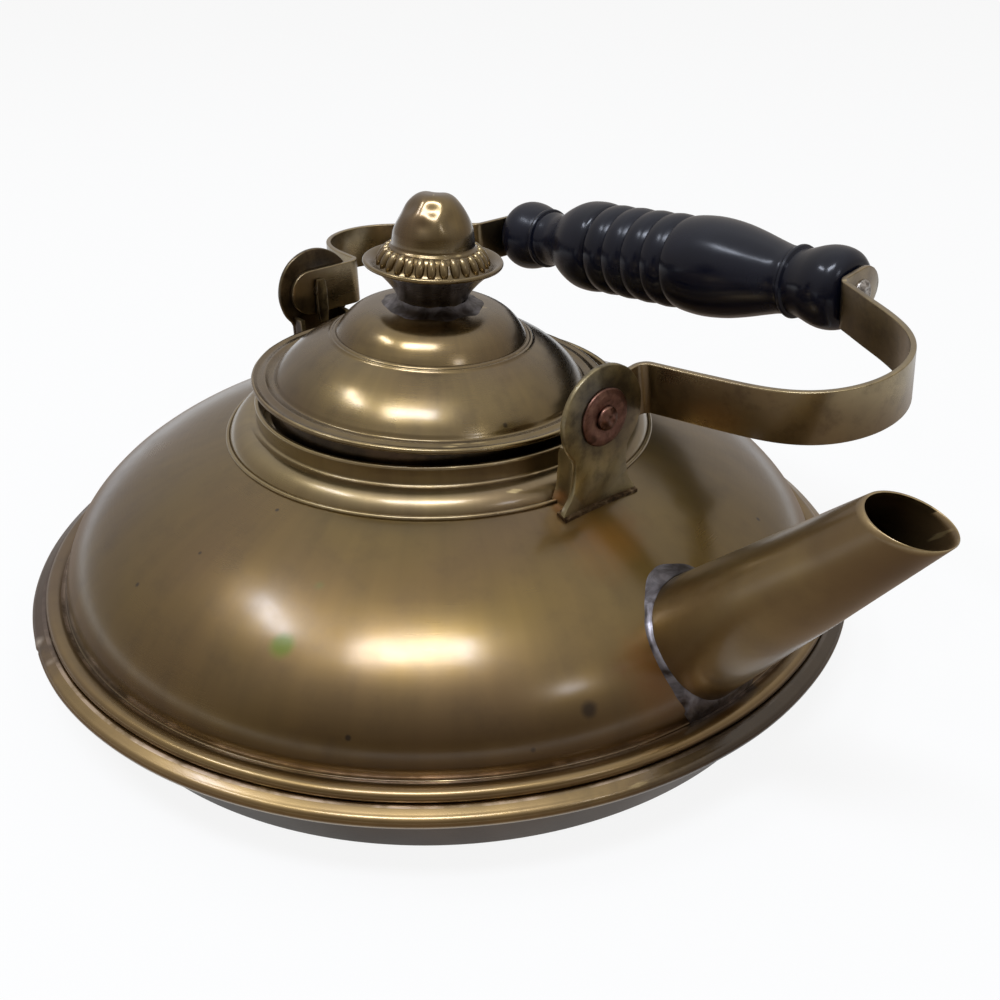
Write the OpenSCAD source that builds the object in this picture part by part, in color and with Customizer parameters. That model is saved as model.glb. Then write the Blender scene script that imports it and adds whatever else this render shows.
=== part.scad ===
// Squat brass kettle with a conical spout, a lift-off lid and a swinging bail.
// Frame: origin at the centre of the flat base, +Z up, spout towards +X.
// The bail is drawn as it lies when it has fallen back towards +Y.

/* [Body] */
// Radius of the shoulder at its foot
dome_r = 100.9; // [98:0.1:105]
// Rise of the shoulder above its foot, if it ran on to the axis
dome_rise = 42.4; // [38:0.1:46]
// How far the pan's upright wall stands outside the shoulder's foot
seam_step = 3.7; // [3.5:0.1:5]
// How far the pan's side flares out from the flat base to the upright wall
flare_w = 6.6; // [5:0.1:10]
// Height where the pan's flared side turns upright
flare_h = 15; // [12:0.5:16]
// Height of the pan's top edge, where the shoulder sits
seam_h = 19.8; // [18.6:0.1:22]
// Thickness of the sheet brass in pan, shoulder and collar
sheet_t = 1.2; // [0.9:0.1:1.6]
// Radius of the half-round moulding's section
moulding_r = 3.1; // [2.4:0.1:3.4]
// Radius of the rolled bead at the shoulder's foot
bead_r = 2.1; // [1.6:0.1:2.3]

/* [Neck] */
// Outside radius of the neck's upright wall
neck_r = 47.8; // [46.8:0.1:49]
// Height of the neck's lip above the base
lip_h = 65.4; // [64:0.1:66.4]
// Width of the rounded collar outside the neck's wall
collar_w = 7.4; // [5:0.1:8]
// Radius of the collar's rounded back
collar_round = 6.3; // [5.5:0.1:6.8]
// Width of the ledge inside the neck, from its outer wall to the opening
ledge_w = 11.3; // [9.8:0.1:15.8]

/* [Spout] */
// Distance of the spout's root inside the shoulder's foot
root_in = 13.4; // [12:0.1:16]
// Height of the spout's root
root_z = 30; // [28:0.5:31]
// Reach of the spout from its root to its mouth, level
spout_reach = 47.9; // [43:0.1:54]
// Height of the middle of the cut at the spout's mouth
tip_z = 82.6; // [78:0.1:88]
// Slope of that cut down towards the front, in degrees
tip_cut = 11.4; // [0:0.1:16]
// Radius of the spout's cone at its root
root_r = 14.7; // [13:0.1:15.5]
// Radius of the spout's cone at its mouth
tip_r = 7.6; // [6:0.1:9]
// Thickness of the spout's sheet
spout_t = 1; // [0.8:0.1:1.4]

/* [Ears] */
// Height of the bail's pivot above the base
pivot_z = 77; // [75:0.5:80]
// Distance of each ear's outer face from the neck's wall
ear_out = 12.6; // [11.3:0.1:14.2]
// Thickness of the ears' sheet
ear_t = 1.4; // [1:0.1:2]
// Radius of an ear's round head
ear_head_r = 12.1; // [11:0.1:13.5]
// Width of an ear's waist
waist_w = 16.4; // [14:0.1:18]
// Width of an ear's foot
foot_w = 21.6; // [18.5:0.1:24]
// Depth of the wings that are bent in along each ear
wing_d = 6; // [4:0.1:6.4]
// Radius of the pivot pins
pin_r = 2; // [1.5:0.1:2.5]
// Radius of the copper washers
washer_r = 6.9; // [5.5:0.1:8]
// Thickness of the copper washers
washer_t = 1; // [0.6:0.1:1.4]

/* [Bail] */
// Width of the bail's strap
strap_w = 13; // [11:0.1:13.6]
// Thickness of the bail's strap
strap_t = 1.4; // [1:0.1:2]
// Distance from the pivot to the axis of the grip
bail_h = 82.5; // [78:0.5:92]
// Tilt of the rear arm above the level, at rest, in degrees
rear_lift = 0.8; // [0:0.1:4]
// Angle of the front arm above the rear one, as the bail is twisted, in degrees
twist_angle = 8.2; // [0:0.1:10]
// Reach of the front arm from the middle of the bail
front_reach = 105.4; // [100:0.1:108]
// Reach of the rear arm from the middle of the bail
rear_reach = 88.1; // [86:0.1:98]
// Radius of the front arm's loop
front_loop = 23; // [20:0.5:25]
// Radius of the rear arm's loop
rear_loop = 17.5; // [16:0.5:19]

/* [Grip] */
// Length of the turned wooden grip
grip_len = 130.4; // [124:0.1:134]
// How far the grip sits off centre along +X
grip_shift = 2.9; // [0:0.1:4]
// Radius of the grip's two long swellings
grip_r = 13.8; // [12:0.1:15]
// Radius of the grip's narrow necks
grip_neck_r = 9; // [7.5:0.1:10]
// Radius of the balls at the grip's ends
ball_r = 10.8; // [10:0.1:12.5]
// Radius of the rod that runs through the grip
rod_r = 2.4; // [2:0.1:3]

/* [Lid] */
// How far the lid's brim stays inside the neck's outer wall
brim_in = 2.3; // [1.4:0.1:3.6]
// Height of the lid's brim above the neck's lip, at the lid's middle
brim_lift = 5.1; // [4.6:0.1:6.6]
// How far the lid sits off centre along +X
lid_dx = 1.8; // [0:0.1:2]
// How far the lid sits off centre along -Y
lid_dy = 3.9; // [0:0.1:4]
// Lean of the lid in its neck, in degrees
lid_lean = 3.1; // [0:0.1:3.3]
// Thickness of the lid's sheet
lid_t = 1; // [0.8:0.1:1.2]
// Room between the neck's inner wall and the lid's skirt, all round
skirt_room = 5.4; // [5.1:0.1:6.6]
// Radius of the step between the lid's two domes
step_r = 25; // [22:0.5:28]
// Height of that step above the brim
step_h = 11.2; // [10:0.1:12]

/* [Knob] */
// Height of the knob's foot above the brim
foot_h = 17.6; // [17:0.1:19]
// Radius of the knob's neck
knob_neck_r = 8.8; // [7:0.1:9.6]
// Radius of the knob's saucer
saucer_r = 17.3; // [15.8:0.1:19]
// Height of the saucer's rim above the knob's foot
saucer_h = 12.4; // [11.5:0.1:14]
// Radius of the knob's cap
cap_r = 10.2; // [9:0.1:10.8]
// Height of the knob's cap
cap_h = 18.2; // [15:0.1:20]
// Number of beads round the cap
bead_count = 28; // [20:1:32]

/* [Hidden] */
$fn = 96;
BIG = 300;               // larger than the whole kettle

brass = "#8f7d5a";
dark_brass = "#6f5f48";
copper = "#a97a6a";
solder = "#8d8d88";
ebony = "#23252c";

// pan
wall_r = dome_r + seam_step;
base_r = wall_r - flare_w;
moulding_drop = 2.5;     // the moulding's middle lies this far under the pan's edge
moulding_bite = 0.8;     // how far its section's centre lies inside a full half round
moulding_x = wall_r + moulding_r - moulding_bite;
moulding_z = seam_h - moulding_drop;

// shoulder: a quarter of an ellipse that stands on the bead
dome_z0 = seam_h + sheet_t;
bead_gap = 1.3;          // between the shoulder's foot and the bead
bead_z = seam_h + bead_r;
bead_cx = dome_r + bead_gap + bead_r;

function dome_z(r, grow = 0) =
    dome_z0 + (dome_rise + grow) * sqrt(1 - pow(r / (dome_r + grow), 2));
function dome_arc(grow = 0, steps = 48) =
    [for (i = [0:steps])
        let (a = 90 * (1 - i / steps))
        [(dome_r + grow) * cos(a), dome_z0 + (dome_rise + grow) * sin(a)]];

// points on the arc from p to q that bulges by sag to the left of p to q
function arc_points(p, q, sag, steps = 12) =
    let (d = q - p, chord = norm(d),
         r = (chord * chord / 4 + sag * sag) / (2 * sag),
         n = [-d[1], d[0]] / chord,
         c = (p + q) / 2 + n * (sag - r),
         a0 = atan2(p[1] - c[1], p[0] - c[0]),
         a1 = atan2(q[1] - c[1], q[0] - c[0]),
         turn = a1 - a0 > 180 ? a1 - a0 - 360 : a1 - a0 < -180 ? a1 - a0 + 360 : a1 - a0)
    [for (i = [0:steps]) c + abs(r) * [cos(a0 + turn * i / steps), sin(a0 + turn * i / steps)]];

// neck
wall_in = neck_r - sheet_t;
mouth_r = neck_r - ledge_w;
ledge_z = dome_z(neck_r);
lip_r = sheet_t / 2;
collar_foot_r = neck_r + collar_w;
collar_sink = 1.9;       // the round's centre lies this far under the collar's foot
collar_cx = collar_foot_r - sqrt(pow(collar_round, 2) - pow(collar_sink, 2));
collar_cz = dome_z(collar_foot_r) - collar_sink;

// spout
root_x = dome_r - root_in;
tip_x = root_x + spout_reach;
spout_len = norm([spout_reach, tip_z - root_z]);
spout_lean = atan2(spout_reach, tip_z - root_z);
spout_taper = (root_r - tip_r) / spout_len;
spout_back = 24;         // the cone is drawn this far back into the body
spout_on = 16;           // and this far on past the cut
solder_w = 3.2;

// ears and pins
ear_x = neck_r + ear_out;
ear_in = ear_x - ear_t;
play = 0.3;              // side play between strap, ear and pin tail
bore_play = 0.08;        // radial clearance of strap and washer on the pin
foot_rise = 5;           // the foot starts to widen this high above the shoulder
foot_flare = 6;          // and reaches its full width this far lower down
foot_sink = 12;          // the plate is drawn this far down, then trimmed to the shoulder
foot_z = dome_z(ear_x) + foot_rise;
wing_sink = 8;           // the wings are drawn this far under the ledge, then trimmed
wing_gap = 0.2;          // between the wings and the level strap
wing_top = pivot_z - strap_w / 2 - wing_gap;
wing_y = waist_w / 2;
head_lap = 0.9;          // the pin's head laps over the washer by this much
head_r = pin_r + head_lap;
head_h = 1.5;
ear_solder_w = 0.8;      // width of the solder along an ear's foot
tail_w = 3.6;
tail_t = 1.6;
tail_len = 9;

// bail
strap_x = ear_in - play - strap_t / 2;
strap_tip = 2.4;         // the rounded end's centre lies this far past the pivot
bend_r = 3;              // middle radius of the tight bends
front_clear = 0.7;       // the front arm's first bend starts this far past the ear's head
rear_early = 0.4;        // and the rear arm's this far before it
front_up = ear_head_r + front_clear;
rear_up = ear_head_r - rear_early;
front_out = 12.6;        // slope of the front arm's outward run, in degrees
rear_out = 2;            // slope of the rear arm's outward run, in degrees
front_back = 26;         // slope of the front arm's run back to the grip, in degrees
rear_back = 48;          // slope of the rear arm's run back to the grip, in degrees
grip_x = grip_len / 2;
tab_tip = 1;             // the tab's rounded end centre lies this far past the rod
front_angle = 90 - rear_lift - twist_angle;
rear_angle = 90 - rear_lift;
function on_bail(x, v, angle) = [x, v * sin(angle), pivot_z + v * cos(angle)];
grip_front = on_bail(grip_shift + grip_x, bail_h, front_angle);
grip_rear = on_bail(grip_shift - grip_x, bail_h, rear_angle);
grip_dir = grip_front - grip_rear;
grip_mid = (grip_front + grip_rear) / 2;
grip_el = atan2(grip_dir[2], norm([grip_dir[0], grip_dir[1]]));
grip_az = atan2(grip_dir[1], grip_dir[0]);
rod_lap = 0.8;           // the rod's heads lap over the straps by this much
rod_head_r = rod_r + rod_lap;
rod_head_h = 1.3;

// lid
brim_r = neck_r - brim_in;
brim_z = lip_h + brim_lift;
skirt_r = wall_in - skirt_room;
lid_dir = 50;            // the lid leans down towards this side
skirt_t = 1;
skirt_gap = 0.2;         // between the skirt's lowest point and the ledge
skirt_h = brim_z - ledge_z - skirt_r * sin(lid_lean) - skirt_gap;
brim_dip = 0.5;          // the brim is dished by this much inside its rolled edge
edge_r = 0.7;
brim_w = 5.8;            // the flat brim outside the lower dome
lower_sag = 1.2;         // how far the lower dome bulges from a plain cone
upper_sag = 2.4;         // and the upper dome
dome_foot_r = brim_r - brim_w;

// knob
knob_t = 1.1;
seat_r = 14.2;           // inside the saucer, where the beads sit
seat_h = saucer_h - 1.8;
bead_ring_r = (seat_r + cap_r) / 2 - 0.1;
gadroon_r = 1.5;
cap_skirt_h = 2.5;

module ring(points) {
    rotate_extrude() polygon(points);
}

// the area under the shoulder's line, down to the seam
module dome_section(grow = 0) {
    polygon(concat([[0, seam_h]], dome_arc(grow), [[dome_r + grow, seam_h]]));
}

// everything inside the outer face of the shoulder, its flange and its bead
module body_envelope(grow = 0) {
    rotate_extrude() dome_section(grow);
    rotate_extrude() translate([bead_cx, bead_z]) circle(bead_r + grow);
    translate([0, 0, seam_h]) cylinder(h = sheet_t + grow, r = wall_r + grow);
}

module collar_section() {
    difference() {
        union() {
            translate([collar_cx, collar_cz]) circle(collar_round);
            translate([wall_in, ledge_z - 2]) square([sheet_t, lip_h - lip_r - ledge_z + 2]);
            translate([neck_r - lip_r, lip_h - lip_r]) circle(lip_r);
        }
        dome_section();
        square([wall_in, BIG]);
    }
}

module spout_cone(inset = 0, back = spout_back) {
    translate([root_x, 0, root_z])
        rotate([0, spout_lean, 0])
            translate([0, 0, -back])
                cylinder(h = back + spout_len + spout_on,
                    r1 = root_r + spout_taper * back - inset,
                    r2 = tip_r - spout_taper * spout_on - inset);
}

module ear_outline() {
    translate([0, pivot_z]) circle(ear_head_r);
    polygon([
        [-waist_w / 2, pivot_z], [-waist_w / 2, foot_z],
        [-foot_w / 2, foot_z - foot_flare], [-foot_w / 2, foot_z - foot_sink],
        [foot_w / 2, foot_z - foot_sink], [foot_w / 2, foot_z - foot_flare],
        [waist_w / 2, foot_z], [waist_w / 2, pivot_z]
    ]);
}

// a plate on the YZ plane, from x0 towards +X
module plate_x(x0, t) {
    translate([x0, 0, 0]) rotate([90, 0, 90]) linear_extrude(t) children();
}

module rod_x(x0, x1, r) {
    translate([x0, 0, pivot_z]) rotate([0, 90, 0]) cylinder(h = x1 - x0, r = r);
}

// a shallow round head that stands on the plane x = 0
module peened_head(r, h) {
    ball = (r * r + h * h) / (2 * h);
    rotate([0, 90, 0]) rotate_extrude() intersection() {
        translate([0, h - ball]) circle(ball);
        square([r, h]);
    }
}

module ear() {
    color(brass) difference() {
        union() {
            plate_x(ear_in, ear_t) ear_outline();
            for (side = [-1, 1])
                translate([ear_in - wing_d, side > 0 ? wing_y - ear_t : -wing_y, ledge_z - wing_sink])
                    cube([wing_d + ear_t / 2, ear_t, wing_top - ledge_z + wing_sink]);
        }
        body_envelope();
        rotate_extrude() collar_section();
        rod_x(ear_in - 1, ear_x + 1, pin_r);
    }
}

module washer() {
    color(copper) difference() {
        rod_x(ear_x, ear_x + washer_t, washer_r);
        rod_x(ear_x - 1, ear_x + washer_t + 1, pin_r);
    }
}

// pin with a hammered head outside and a flattened tail turned down inside
module pin() {
    tail_x = strap_x - strap_t / 2 - play - tail_t;
    color(dark_brass) {
        rod_x(tail_x, ear_x + washer_t, pin_r);
        translate([ear_x + washer_t, 0, pivot_z]) peened_head(head_r, head_h);
        translate([tail_x, -tail_w / 2, pivot_z - tail_len])
            cube([tail_t, tail_w, tail_len + pin_r + 2]);
    }
}

// an arm's midline is a list of [point, heading]; these are its bends
function right_turn(centre, r, h0, h1, steps) = [for (i = [0:steps])
    let (h = h0 + (h1 - h0) * i / steps) [centre + r * [-sin(h), cos(h)], h]];
function left_turn(centre, r, h0, h1, steps) = [for (i = [0:steps])
    let (h = h0 + (h1 - h0) * i / steps) [centre + r * [sin(h), -cos(h)], h]];
// the line at the distance d to the left of the midline
function beside(path, d) = [for (q = path) q[0] + d * [-sin(q[1]), cos(q[1])]];

// the strap's half-round end, on the +Y side of the origin
module strap_end() {
    rotate([90, 0, 90]) rotate_extrude(angle = 180)
        translate([0, -strap_t / 2]) square([strap_w / 2, strap_t]);
}

// one arm, in its own plane: pivot at the origin, grip towards +Y, reach towards +X;
// grip_end is the place of the grip's end along X
module arm(grip_end, reach, loop_r, up, out, back) {
    tab_x = grip_end + strap_t / 2;
    loop_mid_r = loop_r - strap_t / 2;
    loop_x = reach - loop_r;
    bend_end = [strap_x + bend_r * (1 - sin(out)), up + bend_r * cos(out)];
    run_out = (loop_x + loop_mid_r * sin(out) - bend_end[0]) / cos(out);
    loop_y = bend_end[1] + run_out * sin(out) + loop_mid_r * cos(out);
    loop_end = [loop_x + loop_mid_r * sin(back), loop_y + loop_mid_r * cos(back)];
    run_back = (loop_end[0] - tab_x - bend_r * (1 - sin(back))) / cos(back);
    tab_y = loop_end[1] + run_back * sin(back) + bend_r * cos(back);
    path = concat(
        [[[strap_x, -strap_tip], 90]],
        right_turn([strap_x + bend_r, up], bend_r, 90, out, 8),
        left_turn([loop_x, loop_y], loop_mid_r, out, 180 - back, 30),
        right_turn([tab_x + bend_r, tab_y], bend_r, 180 - back, 90, 8),
        [[[tab_x, bail_h + tab_tip], 90]]);
    difference() {
        union() {
            linear_extrude(strap_w, center = true)
                polygon(concat(beside(path, strap_t / 2), reversed(beside(path, -strap_t / 2))));
            translate([strap_x, -strap_tip, 0]) mirror([0, 1, 0]) strap_end();
            translate([tab_x, bail_h + tab_tip, 0]) strap_end();
        }
        rotate([0, 90, 0]) cylinder(h = BIG, r = pin_r + bore_play);
        translate([tab_x - strap_t, bail_h, 0]) rotate([0, 90, 0])
            cylinder(h = 2 * strap_t, r = rod_r + play);
    }
}

// stands an arm's plane up in the kettle: angle is measured from +Z towards +Y
module in_bail_plane(angle) {
    translate([0, 0, pivot_z]) rotate([90 - angle, 0, 0]) children();
}

module along_grip() {
    translate(grip_mid) rotate([0, 90 - grip_el, grip_az]) children();
}

// half the turned outline, as radius over place along the grip
function swell(s, s0, s1, r0, r1) = r0 + (r1 - r0) * (1 - cos(180 * (s - s0) / (s1 - s0))) / 2;
neck_s = grip_x * 0.68;
rear_peak = -grip_x * 0.42;
front_peak = grip_x * 0.30;
rear_ring = -grip_x * 0.34;
front_ring = grip_x * 0.14;
ring_n = 4;
ring_pitch = (front_ring - rear_ring) / ring_n;
ring_r = 0.965 * grip_r;
groove_r = grip_r - 1.6;
ball_s = grip_x - ball_r * 0.85;

module grip_section() {
    rear_swell = [for (i = [0:12]) let (s = -neck_s + i / 12 * (rear_peak + neck_s))
        [swell(s, -neck_s, rear_peak, grip_neck_r, grip_r), s]];
    front_swell = [for (i = [0:14]) let (s = front_peak + i / 14 * (neck_s - front_peak))
        [swell(s, front_peak, neck_s, grip_r, grip_neck_r), s]];
    polygon(concat([[0, -neck_s - 6], [grip_neck_r, -neck_s - 6]], rear_swell,
        [[ring_r, rear_ring], [groove_r, rear_ring], [groove_r, front_ring], [ring_r, front_ring]],
        front_swell, [[grip_neck_r, neck_s + 6], [0, neck_s + 6]]));
    for (i = [0:ring_n - 1])
        translate([ring_r - ring_pitch / 2, rear_ring + (i + 0.5) * ring_pitch])
            circle(ring_pitch / 2);
    for (side = [-1, 1])
        intersection() {
            translate([0, side * ball_s]) circle(ball_r);
            translate([0, -BIG / 2]) square([BIG, BIG]);
        }
}

// the lid's own frame: its origin is the middle of the brim's edge circle
module lid_place() {
    translate([lid_dx, -lid_dy, brim_z])
        rotate(a = lid_lean, v = [-sin(lid_dir), cos(lid_dir), 0])
            children();
}

// top line of the lid's sheet from the brim inwards
function lid_line(drop = 0) = concat(
    [[brim_r - edge_r, -drop], [dome_foot_r + 1.2, -brim_dip - drop], [dome_foot_r, -drop * 0.9]],
    arc_points([dome_foot_r - 0.4 - drop / 2, 0.6 - drop], [step_r + 0.8, step_h - 0.6 - drop], -lower_sag),
    [[step_r + 0.3, step_h - drop], [step_r - 0.7, step_h - drop]],
    arc_points([step_r - 1.2, step_h + 0.3 - drop], [cap_r, foot_h - drop], -upper_sag),
    [[0, foot_h - drop]]);

function reversed(list) = [for (i = [len(list) - 1:-1:0]) list[i]];

module base_pan() {
    color(brass) ring([
        [0, 0], [base_r - 1, 0], [base_r, 1], [wall_r, flare_h], [wall_r, seam_h],
        [wall_r - sheet_t, seam_h], [wall_r - sheet_t, flare_h + 0.2],
        [base_r - sheet_t, 1.5], [base_r - sheet_t - 0.3, sheet_t], [0, sheet_t]
    ]);
}

// half-round strip soldered round the pan's upright wall
module rim_moulding() {
    color(brass) rotate_extrude() difference() {
        translate([moulding_x, moulding_z]) circle(moulding_r);
        square([wall_r, BIG]);
    }
}

module body_shell() {
    color(brass) difference() {
        union() {
            rotate_extrude() difference() {
                dome_section();
                polygon(concat([[0, 0]], dome_arc(-sheet_t), [[dome_r - sheet_t, 0]]));
                square([mouth_r, BIG]);
                translate([0, ledge_z]) square([neck_r, BIG]);
            }
            rotate_extrude() translate([mouth_r, ledge_z - sheet_t])
                square([neck_r - 0.5 - mouth_r, sheet_t]);
            rotate_extrude() translate([dome_r - sheet_t, seam_h])
                square([wall_r - dome_r + sheet_t, sheet_t]);
            rotate_extrude() translate([bead_cx, bead_z]) circle(bead_r);
        }
        spout_cone(spout_t);
    }
}

module neck_collar() {
    color(brass) rotate_extrude() collar_section();
}

module spout() {
    color(brass) difference() {
        spout_cone();
        spout_cone(spout_t, spout_back + 1);
        body_envelope();
        translate([tip_x, 0, tip_z]) rotate([0, tip_cut, 0])
            translate([-BIG / 2, -BIG / 2, 0]) cube(BIG);
        base_pan_block();
    }
}

module base_pan_block() {
    cylinder(h = seam_h, r = wall_r + 3 * moulding_r);
}

// the grey ring of solder round the spout's root
module spout_solder() {
    color(solder) difference() {
        intersection() {
            spout_cone(-solder_w);
            body_envelope(solder_w - 0.4);
            translate([dome_r * 0.6, -BIG / 2, 0]) cube([BIG, BIG, tip_z]);
        }
        spout_cone();
        body_envelope();
        base_pan_block();
    }
}

module ear_front() { ear(); }
module ear_rear() { rotate([0, 0, 180]) ear(); }

module ear_solder() {
    color(solder) for (turn = [0, 180]) rotate([0, 0, turn]) difference() {
        intersection() {
            translate([ear_in - ear_solder_w, -foot_w / 2 - ear_solder_w, 0])
                cube([ear_t + 2 * ear_solder_w, foot_w + 2 * ear_solder_w, pivot_z]);
            body_envelope(ear_solder_w);
        }
        body_envelope();
        rotate_extrude() collar_section();
        ear();
    }
}

module washer_front() { washer(); }
module washer_rear() { rotate([0, 0, 180]) washer(); }
module pin_front() { pin(); }
module pin_rear() { rotate([0, 0, 180]) pin(); }

module bail_arm_front() {
    color(brass) in_bail_plane(front_angle)
        arm(grip_x + grip_shift, front_reach, front_loop, front_up, front_out, front_back);
}
module bail_arm_rear() {
    color(dark_brass) in_bail_plane(rear_angle) mirror([1, 0, 0])
        arm(grip_x - grip_shift, rear_reach, rear_loop, rear_up, rear_out, rear_back);
}

module grip() {
    color(ebony) difference() {
        intersection() {
            along_grip() rotate_extrude() grip_section();
            translate([grip_shift, 0, 0]) cube([grip_len, BIG, BIG], center = true);
        }
        along_grip() cylinder(h = BIG, r = rod_r, center = true);
    }
}

module grip_rod() {
    color(solder) {
        intersection() {
            along_grip() cylinder(h = BIG, r = rod_r, center = true);
            translate([grip_shift, 0, 0])
                cube([grip_len + 2 * strap_t, BIG, BIG], center = true);
        }
        translate(grip_front + [strap_t, 0, 0]) peened_head(rod_head_r, rod_head_h);
        translate(grip_rear - [strap_t, 0, 0]) rotate([0, 0, 180])
            peened_head(rod_head_r, rod_head_h);
    }
}

module lid_shell() {
    color(brass) lid_place() rotate_extrude() {
        polygon(concat(lid_line(), reversed(lid_line(lid_t))));
        translate([brim_r - edge_r, -lid_t / 2]) circle(edge_r);
    }
}

module lid_skirt() {
    color(dark_brass) lid_place() difference() {
        translate([0, 0, -skirt_h]) cylinder(h = skirt_h, r = skirt_r);
        translate([0, 0, -skirt_h - 1]) cylinder(h = skirt_h + 2, r = skirt_r - skirt_t);
        rotate_extrude() polygon(concat([[0, BIG], [BIG, BIG], [BIG, -lid_t]],
            lid_line(lid_t)));
    }
}

module knob_saucer() {
    flare = arc_points([knob_neck_r, 3.2], [saucer_r - 0.6, saucer_h - 0.9], 1.7);
    under = arc_points([knob_neck_r + 1.1, 0], [knob_neck_r, 3.2], 0.3, 4);
    color(brass) lid_place() translate([0, 0, foot_h]) rotate_extrude() {
        polygon(concat([[knob_neck_r - knob_t, 0]], under, flare,
            [[saucer_r - 0.6, saucer_h], [seat_r, seat_h], [cap_r - 2, seat_h],
             [cap_r - 2, seat_h - knob_t], [knob_neck_r - knob_t, seat_h - knob_t - 3]]));
        translate([saucer_r - 0.6, saucer_h - 0.45]) circle(0.6);
    }
}

module knob_beads() {
    color(brass) lid_place() translate([0, 0, foot_h + seat_h]) {
        intersection() {
            union() for (i = [0:bead_count - 1]) rotate([0, 0, i * 360 / bead_count])
                translate([bead_ring_r, 0, 0.5]) sphere(gadroon_r, $fn = 24);
            cylinder(h = 2 * gadroon_r, r = seat_r);
        }
        rotate_extrude() translate([cap_r, 0]) square([seat_r - cap_r - 0.4, 1]);
    }
}

// the cap's round top, as half an ellipse over a short upright skirt
function cap_arc(r, h) = [for (i = [0:18]) [r * cos(i * 5), cap_skirt_h + h * sin(i * 5)]];

module knob_cap() {
    dome_h = cap_h - cap_skirt_h;
    color(brass) lid_place() translate([0, 0, foot_h + seat_h]) rotate_extrude()
        polygon(concat([[cap_r - knob_t, 0], [cap_r, 0]], cap_arc(cap_r, dome_h),
            reversed(cap_arc(cap_r - knob_t, dome_h - knob_t))));
}

module knob_solder() {
    color(solder) lid_place() rotate_extrude() difference() {
        polygon([[knob_neck_r + 1.1, foot_h + 1.9], [knob_neck_r + 2.2, foot_h + 1.1],
            [knob_neck_r + 4.4, foot_h + 0.1], [knob_neck_r + 4.4, foot_h - 4],
            [knob_neck_r + 1.1, foot_h - 4]]);
        polygon(concat([[0, -BIG], [brim_r - edge_r, -BIG]], lid_line()));
    }
}

base_pan();
rim_moulding();
body_shell();
neck_collar();
spout();
spout_solder();
ear_front();
ear_rear();
ear_solder();
washer_front();
washer_rear();
pin_front();
pin_rear();
bail_arm_front();
bail_arm_rear();
grip();
grip_rod();
lid_shell();
lid_skirt();
knob_saucer();
knob_beads();
knob_cap();
knob_solder();
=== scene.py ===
"""Looks of a squat brass kettle with a conical spout, a lift-off lid and a swinging bail.

All sizes are in millimetres in the kettle's own frame: the origin is the middle of the flat
base, +Z is up and the spout points towards +X. Meshes are written in metres.
"""

import logging
import math
import random
from dataclasses import dataclass
from enum import Enum
from typing import Callable, Optional, Sequence, Union

import bmesh
import bpy
from mathutils import Matrix, Vector, noise


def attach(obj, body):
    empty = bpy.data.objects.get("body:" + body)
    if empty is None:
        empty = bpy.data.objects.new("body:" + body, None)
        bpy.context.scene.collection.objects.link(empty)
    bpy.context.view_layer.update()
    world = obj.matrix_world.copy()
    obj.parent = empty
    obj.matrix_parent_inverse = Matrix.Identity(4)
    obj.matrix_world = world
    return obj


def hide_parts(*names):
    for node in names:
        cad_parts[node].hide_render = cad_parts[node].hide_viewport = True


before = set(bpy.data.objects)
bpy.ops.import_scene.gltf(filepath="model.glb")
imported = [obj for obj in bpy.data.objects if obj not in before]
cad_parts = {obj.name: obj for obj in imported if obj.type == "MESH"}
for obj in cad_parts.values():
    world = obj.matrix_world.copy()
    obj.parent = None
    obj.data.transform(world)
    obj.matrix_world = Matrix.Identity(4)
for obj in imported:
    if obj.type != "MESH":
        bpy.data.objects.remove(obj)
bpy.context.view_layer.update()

MM = 0.001
LOG = logging.getLogger("kettle")
Point = tuple[float, float]
Point3 = tuple[float, float, float]
Tree = bpy.types.NodeTree
Socket = bpy.types.NodeSocket
Colour = tuple[float, float, float, float]
Layer = tuple[Socket, str]
Material = bpy.types.Material
Mesh = bmesh.types.BMesh
Shift = Callable[[Vector], Vector]


class Body(Enum):
    """The bodies that the pieces ride on."""

    KETTLE = "kettle"
    BAIL = "bail"
    LID = "lid"


# ---------------------------------------------------------------- colour and node helpers


def linear(code: str) -> Colour:
    """Turn an sRGB hex colour into linear RGBA.

    Args:
        code: the colour as "#rrggbb".

    Returns:
        The linear red, green and blue, with alpha 1.
    """
    parts = [int(code[i:i + 2], 16) / 255 for i in (1, 3, 5)]
    red, green, blue = (p / 12.92 if p <= 0.04045 else ((p + 0.055) / 1.055) ** 2.4 for p in parts)
    return red, green, blue, 1.0


def add(tree: Tree, kind: str, links: Optional[dict] = None, **settings: object) -> bpy.types.Node:
    """Add one node with its settings, values and links.

    Args:
        tree: the node tree it goes into.
        kind: the node's type name after "ShaderNode".
        links: input name or number to an output socket or a plain value.
        settings: attributes of the node; "ramp" gives a colour ramp's (position, colour) stops.

    Returns:
        The new node.
    """
    node = tree.nodes.new("ShaderNode" + kind)
    ramp = settings.pop("ramp", None)
    for key, value in settings.items():
        setattr(node, key, value)
    if ramp:
        stops = node.color_ramp.elements
        while len(stops) < len(ramp):
            stops.new(0.5)
        for stop, (place, colour) in zip(stops, ramp):
            stop.position = place
            stop.color = colour if isinstance(colour, tuple) else (colour, colour, colour, 1.0)
    for key, value in (links or {}).items():
        if isinstance(value, Socket):
            tree.links.new(value, node.inputs[key])
        else:
            node.inputs[key].default_value = value
    return node


def blank_material(name: str) -> Material:
    """Make a node material with no nodes yet.

    Args:
        name: its name.

    Returns:
        The material.
    """
    material = bpy.data.materials.new(name)
    material.use_nodes = True
    material.node_tree.nodes.clear()
    return material


# ---------------------------------------------------------------- finishes


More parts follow.
